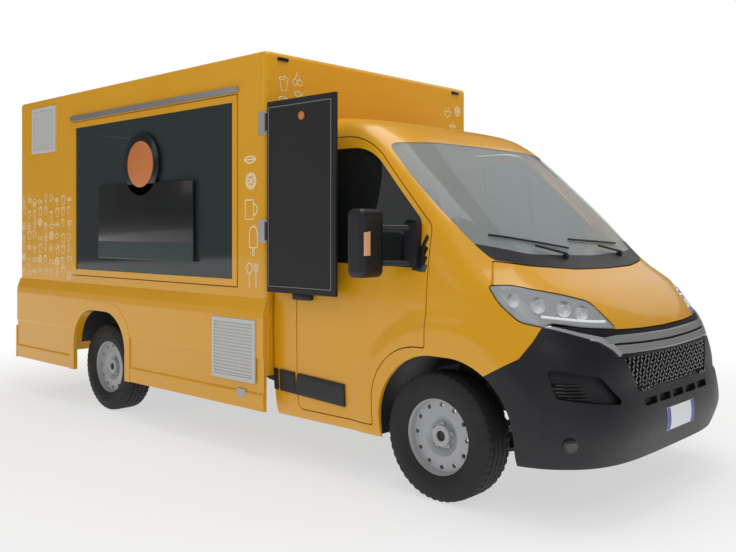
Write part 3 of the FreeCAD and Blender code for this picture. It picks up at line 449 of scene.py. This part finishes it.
def studio_floor():
    """A matt floor that fades into a bright backdrop away from the truck."""
    nothing_selected()
    bpy.ops.mesh.primitive_plane_add(size=FLOOR_SIZE, location=(0, 0, 0))
    floor = bpy.context.object
    floor.name = "floor"
    ground = bpy.data.materials.new("studio_floor")
    ground.use_nodes = True
    nodes, links = ground.node_tree.nodes, ground.node_tree.links
    near = nodes["Principled BSDF"]
    near.inputs["Base Color"].default_value = (0.90, 0.90, 0.90, 1)
    near.inputs["Roughness"].default_value = 0.9
    near.inputs["Specular IOR Level"].default_value = 0.0
    sky = nodes.new("ShaderNodeEmission")
    spot = nodes.new("ShaderNodeTexCoord")
    reach = nodes.new("ShaderNodeVectorMath")
    reach.operation = "LENGTH"
    fade = nodes.new("ShaderNodeMapRange")
    fade.interpolation_type = "SMOOTHSTEP"
    fade.inputs["From Min"].default_value = FADE_FROM
    fade.inputs["From Max"].default_value = FADE_TO
    fade.inputs["To Min"].default_value = 0.60
    blend = nodes.new("ShaderNodeMixShader")
    links.new(spot.outputs["Object"], reach.inputs[0])
    links.new(reach.outputs["Value"], fade.inputs["Value"])
    links.new(fade.outputs["Result"], blend.inputs["Fac"])
    links.new(near.outputs["BSDF"], blend.inputs[1])
    links.new(sky.outputs["Emission"], blend.inputs[2])
    links.new(blend.outputs["Shader"], nodes["Material Output"].inputs["Surface"])
    floor.data.materials.append(ground)


def studio_lamps():
    for name, place, size, power in STAGE_LAMPS:
        light = bpy.data.lights.new(name, "AREA")
        light.size = size
        light.energy = power
        lamp = add_object(name, light)
        lamp.location = place
        aim = LAMP_TARGET - Vector(place)
        lamp.rotation_euler = aim.to_track_quat("-Z", "Y").to_euler()


def photo_camera(scene):
    """The camera as fitted to the photograph."""
    data = bpy.data.cameras.new("camera")
    data.sensor_width = SENSOR_WIDTH
    data.lens = CAMERA_LENS
    data.shift_y = CAMERA_SHIFT
    scene.camera = add_object("camera", data)
    scene.camera.location = CAMERA_PLACE
    scene.camera.rotation_euler = (math.radians(90), 0, CAMERA_HEADING)


class TRUCK_OT_stage(bpy.types.Operator):
    """Floor, lamps, world and camera."""
    bl_idname = "truck.stage"
    bl_label = "Stage"

    def execute(self, context):
        context.scene.view_settings.view_transform = "Standard"
        studio_world(context.scene)
        studio_floor()
        studio_lamps()
        photo_camera(context.scene)
        return {"FINISHED"}


class TRUCK_OT_finishes(bpy.types.Operator):
    """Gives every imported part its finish."""
    bl_idname = "truck.finishes"
    bl_label = "Finishes"

    def execute(self, context):
        table = node_finishes()
        slots = {row["node"]: row["material_slot"] for row in frame["record"]["subparts"]}
        for name, piece in frame["nodes"].items():
            piece.data.materials.clear()
            look = side_glass_painted_shade() if name.startswith("door_glass") else table[slots[name]]
            piece.data.materials.append(look)
            smooth_shade(piece, 32)
        return {"FINISHED"}


# ---------------------------------------------------------------- shaped pieces
def from_points(name, points, faces):
    mesh = bpy.data.meshes.new(name)
    mesh.from_pydata([tuple(p) for p in points], [], faces)
    mesh.update()
    return add_object(name, mesh)


def along(points, share):
    """The point at a share of a polyline's length."""
    points = [Vector(p) for p in points]
    steps = [(b - a).length for a, b in zip(points, points[1:])]
    left = share * sum(steps)
    for a, b, step in zip(points, points[1:], steps):
        if left <= step or b is points[-1]:
            return a.lerp(b, min(1.0, left / step) if step else 0.0)
        left -= step
    return points[-1]


def skin_ribbon(name, skin, view, upper, lower, thick, lift=0.001, columns=40, rows=4, bevel=0.0015):
    """A strip between two lines, laid on a skin seen from the front or the right, and thickened outward."""
    points = []
    for i in range(columns + 1):
        top = along([(*p, 0) for p in upper], i / columns)
        low = along([(*p, 0) for p in lower], i / columns)
        for j in range(rows + 1):
            at = top.lerp(low, j / rows)
            if view == "front":
                points.append(skin.from_front(at.x, at.y, lift))
            else:
                points.append(skin.from_side(at.x, at.y, RIGHT, lift))
    good = next(p for p in points if p is not None)
    for k, point in enumerate(points):
        if point is None:
            points[k] = points[k - 1] if k else good
    faces = []
    for i in range(columns):
        for j in range(rows):
            a = i * (rows + 1) + j
            faces.append([a, a + 1, a + rows + 2, a + rows + 1])
    piece = from_points(name, points, faces)
    faces_out(piece, merge=0.0004)
    mean = sum((f.normal for f in piece.data.polygons), Vector())
    outward = mean.x > 0 if view == "front" else mean.y < 0
    wall = piece.modifiers.new("wall", "SOLIDIFY")
    wall.thickness = thick
    wall.offset = 1 if outward else -1
    if bevel:
        edge = piece.modifiers.new("edge", "BEVEL")
        edge.width = bevel
        edge.segments = 2
        edge.limit_method = "ANGLE"
    apply_all(piece)
    return smooth_shade(piece, 45)


def loose_solids(node):
    """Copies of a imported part's separate solids."""
    pick(add_object(node + "_copy", frame["nodes"][node].data.copy()))
    bpy.ops.object.mode_set(mode="EDIT")
    bpy.ops.mesh.select_all(action="SELECT")
    bpy.ops.mesh.remove_doubles(threshold=0.0001)
    bpy.ops.mesh.separate(type="LOOSE")
    bpy.ops.object.mode_set(mode="OBJECT")
    return list(bpy.context.selected_objects)


class TRUCK_OT_seats(bpy.types.Operator):
    """Padded cushions in place of the seats' solids."""
    bl_idname = "truck.seats"
    bl_label = "Seats"

    def execute(self, context):
        cloth = node_finishes()["seat_fabric"]
        for node in ("driver_seat", "passenger_seat"):
            for count, pad in enumerate(loose_solids(node)):
                pad.name = f"{node}_pad_{count}"
                remesh = pad.modifiers.new("remesh", "REMESH")
                remesh.mode = "VOXEL"
                remesh.voxel_size = PAD_VOXEL
                soften = pad.modifiers.new("soften", "SMOOTH")
                soften.factor = 0.6
                soften.iterations = 6
                apply_all(pad)
                smooth_shade(pad, 70)
                dress(pad, cloth, "root")
                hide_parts(node)
        return {"FINISHED"}


def tyre_section(inner, radius):
    """A tyre's closed section as (share of the half width, radius)."""
    flank = [(-0.80, inner + 0.001), (-0.86, inner + 0.012), (-0.97, inner + 0.045),
             (-1.0, radius - 0.085), (-0.985, radius - 0.055), (-0.97, radius - 0.052),
             (-0.95, radius - 0.030), (-0.88, radius - 0.012), (-0.80, radius - 0.004)]
    tread = []
    for groove in GROOVES:
        tread += [(groove - 0.045, radius), (groove - 0.03, radius - GROOVE_DEPTH),
                  (groove + 0.03, radius - GROOVE_DEPTH), (groove + 0.045, radius)]
    lining = [(0.5, inner + 0.03), (-0.5, inner + 0.03)]
    return flank + tread + [(-y, r) for y, r in reversed(flank)] + lining


class TRUCK_OT_tyres(bpy.types.Operator):
    """Tyres with grooves and sipes in place of the plain ones."""
    bl_idname = "truck.tyres"
    bl_label = "Tyres"

    def execute(self, context):
        rubber = node_finishes()["tyre_rubber"]
        for node in ("tyre_front_left", "tyre_front_right", "tyre_rear_left", "tyre_rear_right"):
            low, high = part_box(node)
            middle = (low + high) / 2
            radius = (high.z - low.z) / 2
            half = (high.y - low.y) / 2
            plain = frame["nodes"][node].data.vertices
            inner = min(math.hypot(v.co.x - middle.x, v.co.z - middle.z) for v in plain)
            section = tyre_section(inner, radius)
            points = []
            for i in range(TREAD_STEPS):
                angle = 2 * math.pi * i / TREAD_STEPS
                for y, r in section:
                    if i % 3 == 0 and 0.55 < abs(y) < 0.96 and r > radius - 0.04:
                        r -= SHOULDER_CUT
                    if i % 6 == 0 and abs(y) < 0.5 and r > radius - 0.001:
                        r -= SIPE_CUT
                    points.append((middle.x + r * math.cos(angle), middle.y + y * half,
                                   middle.z + r * math.sin(angle)))
            faces = []
            n = len(section)
            for i in range(TREAD_STEPS):
                here, there = i * n, (i + 1) % TREAD_STEPS * n
                for j in range(n):
                    k = (j + 1) % n
                    faces.append([here + j, here + k, there + k, there + j])
            tyre = from_points("tread_" + node[5:], points, faces)
            faces_out(tyre)
            smooth_shade(tyre, 30)
            dress(tyre, rubber, "wheel_" + node[5:])
            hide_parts(node)
        return {"FINISHED"}


def nose_bars(nose):
    """Two silver bars over the grille, and a bright strip beside it on each side."""
    silver = finish("band_silver", (0.36, 0.365, 0.37), rough=0.30, metal=0.35, coat=0.3, drift=0.05)
    upper = [(-0.640, 0.926), (-0.545, 0.934), (-0.30, 0.928), (0, 0.922), (0.30, 0.928), (0.545, 0.934),
             (0.640, 0.926)]
    lower = [(-0.612, 0.894), (-0.545, 0.897), (-0.30, 0.889), (0, 0.884), (0.30, 0.889), (0.545, 0.897),
             (0.612, 0.894)]
    top_bar = skin_ribbon("upper_bar", nose, "front", upper, lower, 0.012, columns=64)
    dress(top_bar, silver, "root")
    upper = [(-0.585, 0.886), (-0.30, 0.878), (0, 0.872), (0.30, 0.878), (0.585, 0.886)]
    lower = [(-0.560, 0.845), (-0.30, 0.840), (0, 0.834), (0.30, 0.840), (0.560, 0.845)]
    low_bar = skin_ribbon("lower_bar", nose, "front", upper, lower, 0.014, columns=64)
    dress(low_bar, silver, "root")
    edge_top = [(-0.874, 1.000), (-0.743, 0.957), (-0.628, 0.928), (-0.585, 0.898), (-0.555, 0.842)]
    edge_low = [(-0.880, 0.989), (-0.751, 0.942), (-0.659, 0.908), (-0.604, 0.870), (-0.572, 0.833)]
    strip = skin_ribbon("side_strip_right", nose, "front", edge_top, edge_low, 0.010, columns=48)
    for piece in (strip, mirrored_copy(strip, "side_strip_left")):
        dress(piece, chrome(), "root")


def grille_lattice(nose):
    """Short slanted dashes in rows over the grille."""
    quads = ((0, 3, 2, 1), (4, 5, 6, 7), (0, 1, 5, 4), (1, 2, 6, 5), (2, 3, 7, 6), (3, 0, 4, 7))
    points = []
    faces = []
    for row in range(LATTICE_ROWS):
        z = LATTICE_TOP - row * LATTICE_PITCH
        reach = 0.532 - (0.835 - z) * 0.60
        for column in range(LATTICE_COLUMNS + 1):
            y = -reach + 2 * reach * (column + (row % 2) * 0.5) / (LATTICE_COLUMNS + 0.5)
            at = nose.from_front(y, z, 0.004)
            if at is None:
                continue
            lean = math.radians(LATTICE_LEAN if (column + row) % 2 else -LATTICE_LEAN)
            run = Vector((0, math.cos(lean), math.sin(lean))) * DASH_HALF_LENGTH
            rise = Vector((0, -math.sin(lean), math.cos(lean))) * DASH_HALF_HEIGHT
            start = len(points)
            for depth in (-0.004, 0.006):
                for a, b in ((-1, -1), (1, -1), (1, 1), (-1, 1)):
                    points.append(at + run * a + rise * b + Vector((depth, 0, 0)))
            faces += [[start + k for k in quad] for quad in quads]
    dress(from_points("grille_lattice", points, faces), gloss_black(), "root")


def blank_plate(nose):
    """A blank number plate with a plain band at each end."""
    half = sizes().plate_width / 2
    top = PLATE_MIDDLE + sizes().plate_height / 2
    foot = PLATE_MIDDLE - sizes().plate_height / 2
    plate = skin_ribbon("plate_blank", nose, "front", [(-half, top), (half, top)],
                        [(-half, foot), (half, foot)],
                        0.0008, lift=0.0002, bevel=0)
    dress(plate, finish("plate_white", (0.80, 0.82, 0.84), rough=0.35, coat=0.3, drift=0.02), "root")
    bands = []
    for side in (RIGHT, LEFT):
        ends = sorted((side * (half - 0.002), side * (half - 0.042)))
        bands.append(skin_ribbon("band", nose, "front", [(y, top - 0.002) for y in ends],
                                 [(y, foot + 0.002) for y in ends], 0.0005, lift=0.0012, columns=6,
                                 bevel=0))
    dress(joined("plate_bands", bands), finish("plate_blue", (0.02, 0.07, 0.42), rough=0.35, drift=0.04),
          "root")


def fog_lamp(nose, side, word):
    place = Vector((2.722, side * 0.891, 0.418))
    hit = nose.from_front(place.y, place.z) or place
    axis = Vector((0.8, side * 0.6, 0))
    ring = disc("fog_ring_" + word, hit + axis * 0.002, 0.040, 0.014, axis)
    dress(ring, gloss_black(), "root")
    glass = disc("fog_lens_" + word, hit + axis * 0.008, 0.030, 0.012, axis, 0.004)
    dress(glass, finish("fog_glass", (0.035, 0.038, 0.042), rough=0.08, coat=0.6, drift=0.3, coarse=90),
          "root")


def headlamp_inside(lens, side, word):
    """Bowls behind the lens, and the day lamp's line along its foot."""
    facing = Vector((0.85, side * 0.45, 0.15))
    spots = []
    for y, z, size in ((0.925, 1.125, 0.038), (0.850, 1.100, 0.043), (0.742, 1.078, 0.043),
                       (0.655, 1.056, 0.040)):
        at = lens.from_front(side * y, z)
        if at is None:
            continue
        spots.append(disc("bowl", at - facing * 0.030, size, 0.022, facing, 0.006))
        spots.append(disc("eye", at - facing * 0.020, size * 0.55, 0.020, facing, 0.008))
    if spots:
        lamp = joined("lamp_bowls_" + word, spots)
        dress(lamp, finish("lamp_chrome", (0.80, 0.82, 0.85), rough=0.12, metal=0.9, drift=0.15,
                           coarse=70), "root")
    line = []
    for y, z in ((0.870, 1.042), (0.780, 1.028), (0.690, 1.016), (0.600, 1.008), (0.545, 1.006)):
        at = lens.from_front(side * y, z)
        if at is not None:
            line.append(at - Vector((0.80, side * 0.5, 0)) * 0.014)
    if len(line) > 2:
        day = bar("day_lamp_" + word, line, 0.007, smooth=True)
        dress(day, finish("day_lamp", (0.9, 0.92, 0.95), rough=0.25, drift=0.02, glow=0.35), "root")


def bumper_lines(nose, side, word):
    """Fins in the side intake, and the crease down the bumper's corner."""
    fins = []
    for step in range(FIN_ROWS):
        z = 0.706 - step * FIN_PITCH
        places = [nose.from_front(side * (0.905 - k * 0.012 - step * 0.006), z,
                                  0.012) for k in range(FIN_POINTS)]
        if None not in places:
            fins.append(bar("fin", places, 0.0042))
    if fins:
        dress(joined("intake_fins_" + word, fins), gloss_black(), "root")
    crease = [nose.from_side(x, z, side, -0.001)
              for x, z in ((2.482, 0.813), (2.540, 0.743), (2.593, 0.603), (2.607, 0.442))]
    crease = [at for at in crease if at is not None]
    if len(crease) > 2:
        line = bar("bumper_crease_" + word, crease, 0.0035, smooth=True)
        dress(line, textured_plastic(), "root")


class TRUCK_OT_front(bpy.types.Operator):
    """Bars, lattice, plate, fog lamps, lamp insides, fins and creases at the nose."""
    bl_idname = "truck.front"
    bl_label = "Front"

    def execute(self, context):
        nose = SkinProbe("grille", "front_bumper")
        lens = SkinProbe("headlamp_lenses")
        nose_bars(nose)
        grille_lattice(nose)
        blank_plate(nose)
        for side, word in ((RIGHT, "right"), (LEFT, "left")):
            fog_lamp(nose, side, word)
            headlamp_inside(lens, side, word)
            bumper_lines(nose, side, word)
        return {"FINISHED"}


class TRUCK_OT_sign(bpy.types.Operator):
    """Plain sign board with a plain disc on the hatch's glass."""
    bl_idname = "truck.sign"
    bl_label = "Sign"

    def execute(self, context):
        face_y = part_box("hatch_glass")[0][1]
        black = finish("sign_black", (0.010, 0.011, 0.012), rough=0.22, coat=0.3, drift=0.15)
        panel = soft_block("panel", (-1.426, face_y - 0.034, 1.258), (-0.127, face_y - 0.018, 1.843),
                           0.0075, 3)
        round_top = disc("round", (-0.801, face_y - 0.026, 1.986), 0.240, 0.016, (0, -1, 0), 0.003, 72)
        board = joined("sign_board", [panel, round_top])
        dress(board, black, "service_hatch")
        medal = disc("sign_disc", (-0.801, face_y - 0.0355, 1.986), 0.176, 0.004, (0, -1, 0), 0.001, 72)
        dress(medal, finish("sign_orange", (0.62, 0.19, 0.045), rough=0.45, drift=0.06), "service_hatch")
        foot = soft_block("sign_foot", (-1.420, face_y - 0.0365, 1.264), (-0.133, face_y - 0.0335, 1.395),
                          0.001, 1)
        dress(foot, finish("sign_foot", (0.020, 0.045, 0.043), rough=0.3, drift=0.1), "service_hatch")
        studs = [disc("stud", (x, face_y - 0.011, z), 0.012, 0.022, (0, -1, 0))
                 for x in (-1.30, -0.26) for z in (1.32, 1.78)]
        dress(joined("sign_studs", studs), chrome(), "service_hatch")
        return {"FINISHED"}


class TRUCK_OT_glazing(bpy.types.Operator):
    """Wipers at the windscreen's foot."""
    bl_idname = "truck.glazing"
    bl_label = "Glazing"

    def execute(self, context):
        pane = SkinProbe("windscreen", "cowl")
        black = textured_plastic()
        for word, (arm, blade) in WIPERS.items():
            shapes = []
            for line, radius, lift in ((arm, 0.007, 0.020), (blade, 0.006, 0.009)):
                places = []
                for k in range(9):
                    y = line[0][0] + (line[1][0] - line[0][0]) * k / 8
                    z = line[0][1] + (line[1][1] - line[0][1]) * k / 8
                    at = pane.from_front(y, z, lift)
                    if at is not None:
                        places.append(at)
                if len(places) > 2:
                    shapes.append(bar("wiper", places, radius))
            hub = pane.from_front(arm[0][0], arm[0][1], 0.008)
            if hub is not None:
                shapes.append(disc("hub", hub, 0.018, 0.022, (0.4, 0, 0.9), 0.004, 24))
            if shapes:
                dress(joined("wiper_" + word, shapes), black, "root")
        return {"FINISHED"}


# ---------------------------------------------------------------- painted line icons
def arc(u, v, radius, start=0.0, end=360.0, steps=20, squeeze=1.0):
    """Points of an arc, in an icon's unit square."""
    turn = [math.radians(start + (end - start) * k / steps) for k in range(steps + 1)]
    return [(u + radius * math.cos(a), v + radius * squeeze * math.sin(a)) for a in turn]


# The strokes of plain food icons, each in a unit square.
ICONS = {
    "slice": [[(0.1, 0.85), (0.9, 0.85), (0.5, 0.05), (0.1, 0.85)], arc(0.5, 0.35, 0.63, 50, 130),
              arc(0.4, 0.66, 0.07), arc(0.6, 0.6, 0.07)],
    "cup": [[(0.2, 0.72), (0.3, 0.05), (0.7, 0.05), (0.8, 0.72)],
            [(0.12, 0.72), (0.88, 0.72), (0.8, 0.86), (0.2, 0.86), (0.12, 0.72)],
            [(0.5, 0.86), (0.58, 1.0)]],
    "leaf": [arc(0.5, -0.15, 0.72, 50, 130), arc(0.5, 0.95, 0.72, 230, 310), [(0.04, 0.4), (0.96, 0.4)]],
    "bowl": [arc(0.5, 0.5, 0.42, 180, 360), [(0.05, 0.5), (0.95, 0.5)],
             [(0.35, 0.62), (0.40, 0.74), (0.34, 0.86)],
             [(0.62, 0.62), (0.67, 0.74), (0.61, 0.86)]],
    "cutlery": [[(0.35, 0.05), (0.35, 0.6)], arc(0.35, 0.78, 0.17, -90, 270, 14, 1.2),
                [(0.75, 0.05), (0.75, 0.98)],
                [(0.64, 0.98), (0.64, 0.7), (0.86, 0.7), (0.86, 0.98)]],
    "citrus": [arc(0.5, 0.5, 0.43), arc(0.5, 0.5, 0.33)]
              + [[(0.5, 0.5), (0.5 + 0.3 * math.cos(a), 0.5 + 0.3 * math.sin(a))]
                 for a in (0.5, 1.55, 2.6, 3.65, 4.7, 5.75)],
    "bottle": [[(0.3, 0.02), (0.7, 0.02), (0.7, 0.55), (0.58, 0.72), (0.58, 0.98), (0.42, 0.98),
                (0.42, 0.72),
                (0.3, 0.55), (0.3, 0.02)], [(0.3, 0.4), (0.7, 0.4)]],
    "cherry": [arc(0.28, 0.25, 0.2), arc(0.72, 0.25, 0.2), [(0.28, 0.45), (0.5, 0.95), (0.72, 0.45)]],
    "burger": [arc(0.5, 0.55, 0.42, 0, 180, squeeze=0.75), [(0.08, 0.55), (0.92, 0.55)],
               [(0.05, 0.42), (0.3, 0.34), (0.5, 0.42), (0.7, 0.34), (0.95, 0.42)],
               [(0.1, 0.26), (0.14, 0.08), (0.86, 0.08), (0.9, 0.26), (0.1, 0.26)]],
    "fish": [arc(0.42, 0.5, 0.36, 0, 360, squeeze=0.55),
             [(0.76, 0.5), (0.98, 0.72), (0.98, 0.28), (0.76, 0.5)],
             arc(0.24, 0.55, 0.03, steps=8)],
    "lolly": [[(0.3, 0.3), (0.3, 0.8)] + arc(0.5, 0.8, 0.2, 180, 0, 10) + [(0.7, 0.3), (0.3, 0.3)],
              [(0.46, 0.3), (0.46, 0.05), (0.54, 0.05), (0.54, 0.3)]],
    "mug": [[(0.15, 0.85), (0.15, 0.1), (0.65, 0.1), (0.65, 0.85), (0.15, 0.85)],
            arc(0.65, 0.48, 0.22, -90, 90, 12)],
}
ICON_KINDS = tuple(ICONS)


def painted_icons(name, cells, place, squash_axis, level, line):
    """Many icons as one flat piece: cells are (kind, u, v, size), and place(u, v) is a point on the wall."""
    curve = bpy.data.curves.new(name, "CURVE")
    curve.dimensions = "3D"
    curve.bevel_depth = line / 2
    curve.bevel_resolution = 1
    for kind, u, v, size in cells:
        for stroke in ICONS[kind]:
            spline = curve.splines.new("POLY")
            spline.points.add(len(stroke) - 1)
            for point, (a, b) in zip(spline.points, stroke):
                point.co = (*place(u + a * size, v + b * size), 1)
    piece = as_mesh(name, curve)
    for vertex in piece.data.vertices:
        vertex.co[squash_axis] = level + (vertex.co[squash_axis] - level) * ICON_RELIEF
    return piece


class TRUCK_OT_icons(bpy.types.Operator):
    """Plain line icons painted on the box."""
    bl_idname = "truck.icons"
    bl_label = "Icons"

    def execute(self, context):
        cream = finish("icon_cream", colours().cream, rough=0.4, drift=0.04)
        line = sizes().line_width
        cells = []
        for row in range(ICON_ROWS):
            for column in range(ICON_COLUMNS):
                kind = ICON_KINDS[(row * 5 + column * 7 + row * column) % len(ICON_KINDS)]
                shift = 0.012 * ((row * 3 + column * 5) % 4 - 1.5)
                scale = 0.074 + 0.009 * ((row + 2 * column) % 3)
                cells.append((kind, -2.858 + column * ICON_PITCH, 1.070 + row * ICON_PITCH + shift, scale))
        cells = [cell for cell in cells if cell[1] + cell[3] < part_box("service_hatch")[0][0] - 0.012]
        wall = WALL_Y - 0.0006
        rear = painted_icons("icons_rear_panel", cells, lambda u, v: (u, wall, v), 1, wall, line * 0.62)
        dress(rear, cream, "root")
        tall = [("cutlery", 0.385, 1.10, 0.17), ("lolly", 0.385, 1.31, 0.20), ("mug", 0.375, 1.54, 0.17),
                ("citrus", 0.40, 1.75, 0.12), ("leaf", 0.385, 1.90, 0.13)]
        strip = painted_icons("icons_side_strip", tall, lambda u, v: (u + 0.02, wall, v), 1, wall, line)
        dress(strip, cream, "root")
        front = BOX_FRONT + 0.0006
        nose = [("cup", -0.985, 2.40, 0.11), ("cherry", -0.86, 2.45, 0.10), ("fish", -0.84, 2.36, 0.08),
                ("slice", -0.985, 2.27, 0.10), ("bowl", 0.79, 2.40, 0.10), ("citrus", 0.93, 2.42, 0.09),
                ("leaf", 0.86, 2.30, 0.09)]
        face = painted_icons("icons_front_wall", nose, lambda u, v: (front, u, v), 0, front, line * 0.62)
        dress(face, cream, "root")
        return {"FINISHED"}


class TRUCK_OT_side(bpy.types.Operator):
    """Handles, sills, indicators and window bars on both sides, and small fittings on the box."""
    bl_idname = "truck.side"
    bl_label = "Sides"

    def execute(self, context):
        black = textured_plastic()
        gloss = gloss_black()
        flank = SkinProbe("door_right", "cab_body", "front_wing_right")
        pane = SkinProbe("door_glass_right", "door_right")
        housing = SkinProbe("mirror_right")

        made = []
        sill = skin_ribbon("sill_moulding_right", flank, "right", [(0.705, 0.588), (1.285, 0.560)],
                           [(0.705, 0.452), (1.285, 0.425)], 0.012, columns=30, bevel=0.004)
        made.append((sill, black, "door"))
        heel = skin_ribbon("heel_moulding_right", flank, "right", [(0.648, 0.590), (0.683, 0.589)],
                           [(0.648, 0.454), (0.683, 0.453)], 0.012, columns=4, bevel=0.003)
        made.append((heel, black, "root"))
        sail = skin_ribbon("sail_right", pane, "right", [(1.885, 1.462), (2.030, 1.316)],
                           [(1.800, 1.262), (2.018, 1.250)], 0.006, columns=10, bevel=0.002)
        made.append((sail, gloss, "door"))
        divider = skin_ribbon("window_divider_right", pane, "right", [(1.335, 1.935), (1.368, 1.930)],
                              [(1.335, 1.282), (1.368, 1.282)], 0.004, columns=3, rows=14, bevel=0.001)
        made.append((divider, gloss, "door"))
        indicator = skin_ribbon("indicator_right", housing, "front", [(-1.282, 1.474), (-1.238, 1.480)],
                                [(-1.282, 1.346), (-1.238, 1.346)], 0.004, columns=8, rows=8, bevel=0.001)
        amber = finish("indicator_lens", (0.85, 0.42, 0.22), rough=0.15, coat=0.6, drift=0.08)
        made.append((indicator, amber, "door"))
        lever_y = flank.from_side(0.93, 1.068, RIGHT).y
        grip = soft_block("door_handle_right", (0.845, lever_y - 0.030, 1.046),
                          (1.015, lever_y - 0.014, 1.086), 0.007)
        feet = [soft_block("foot", (x, lever_y - 0.020, 1.050), (x + 0.026, lever_y + 0.004, 1.082), 0.004)
                for x in (0.848, 0.986)]
        made.append((joined("door_handle_right", [grip] + feet), black, "door"))
        for piece, look, body in made:
            copy = mirrored_copy(piece, piece.name.replace("right", "left"))
            for item, word in ((piece, "right"), (copy, "left")):
                dress(item, look, "root" if body == "root" else "door_" + word)

        low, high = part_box("menu_board")
        face = low.y - 0.0008
        left, right = low.x + BOARD_RIM, high.x - BOARD_RIM
        foot, top = low.z + BOARD_RIM, high.z - BOARD_RIM
        corners = [(left, foot), (right, foot), (right, top), (left, top)]
        border = bar("board_border", [(x, face, z) for x, z in corners], 0.0045, closed=True)
        dress(border, finish("board_edge", (0.16, 0.18, 0.17), rough=0.4, drift=0.1), "menu_board")
        knob_place = ((low.x + high.x) / 2 + 0.03, face - 0.004, high.z - 0.115)
        knob = disc("board_knob", knob_place, 0.026, 0.010, (0, -1, 0))
        dress(knob, finish("sign_orange", (0.62, 0.19, 0.045)), "menu_board")

        marks = [soft_block("marker", (BOX_FRONT - 0.002, y - 0.045, 2.598),
                            (BOX_FRONT + 0.012, y + 0.045, 2.622), 0.004) for y in (-0.94, 0.94)]
        dress(joined("front_markers", marks), gloss, "root")
        label = soft_block("skirt_label", (0.375, SKIRT_Y - 0.0002, 0.385),
                           (0.465, SKIRT_Y + 0.002, 0.437), 0.0008, 1)
        dress(label, finish("label_grey", (0.45, 0.47, 0.48), rough=0.4), "root")
        strip = soft_block("roof_strip", (-2.35, WALL_Y + 0.03, BOX_TOP - 0.012),
                           (-0.10, WALL_Y + 0.055, BOX_TOP - 0.0005), 0.002)
        dress(strip, gloss, "root")
        return {"FINISHED"}


CLASSES = [TruckSizes, TruckColours, TRUCK_OT_stage, TRUCK_OT_finishes, TRUCK_OT_seats, TRUCK_OT_tyres,
           TRUCK_OT_front, TRUCK_OT_sign, TRUCK_OT_glazing, TRUCK_OT_icons, TRUCK_OT_side]
STEPS = ["stage", "finishes", "seats", "tyres", "front", "sign", "glazing", "icons", "side"]


class TRUCK_PT_panel(bpy.types.Panel):
    """Lists the steps."""
    bl_idname = "TRUCK_PT_panel"
    bl_label = "Food Truck"
    bl_space_type = "VIEW_3D"
    bl_region_type = "UI"
    bl_category = "Truck"

    def draw(self, context):
        for step in STEPS:
            self.layout.operator("truck." + step)


def register():
    for cls in CLASSES + [TRUCK_PT_panel]:
        bpy.utils.register_class(cls)
    bpy.types.Scene.truck_sizes = bpy.props.PointerProperty(type=TruckSizes)
    bpy.types.Scene.truck_colours = bpy.props.PointerProperty(type=TruckColours)


def unregister():
    del bpy.types.Scene.truck_colours
    del bpy.types.Scene.truck_sizes
    for cls in reversed(CLASSES + [TRUCK_PT_panel]):
        bpy.utils.unregister_class(cls)


def main():
    register()
    for step in STEPS:
        getattr(bpy.ops.truck, step)()


if __name__ == "__main__":
    main()
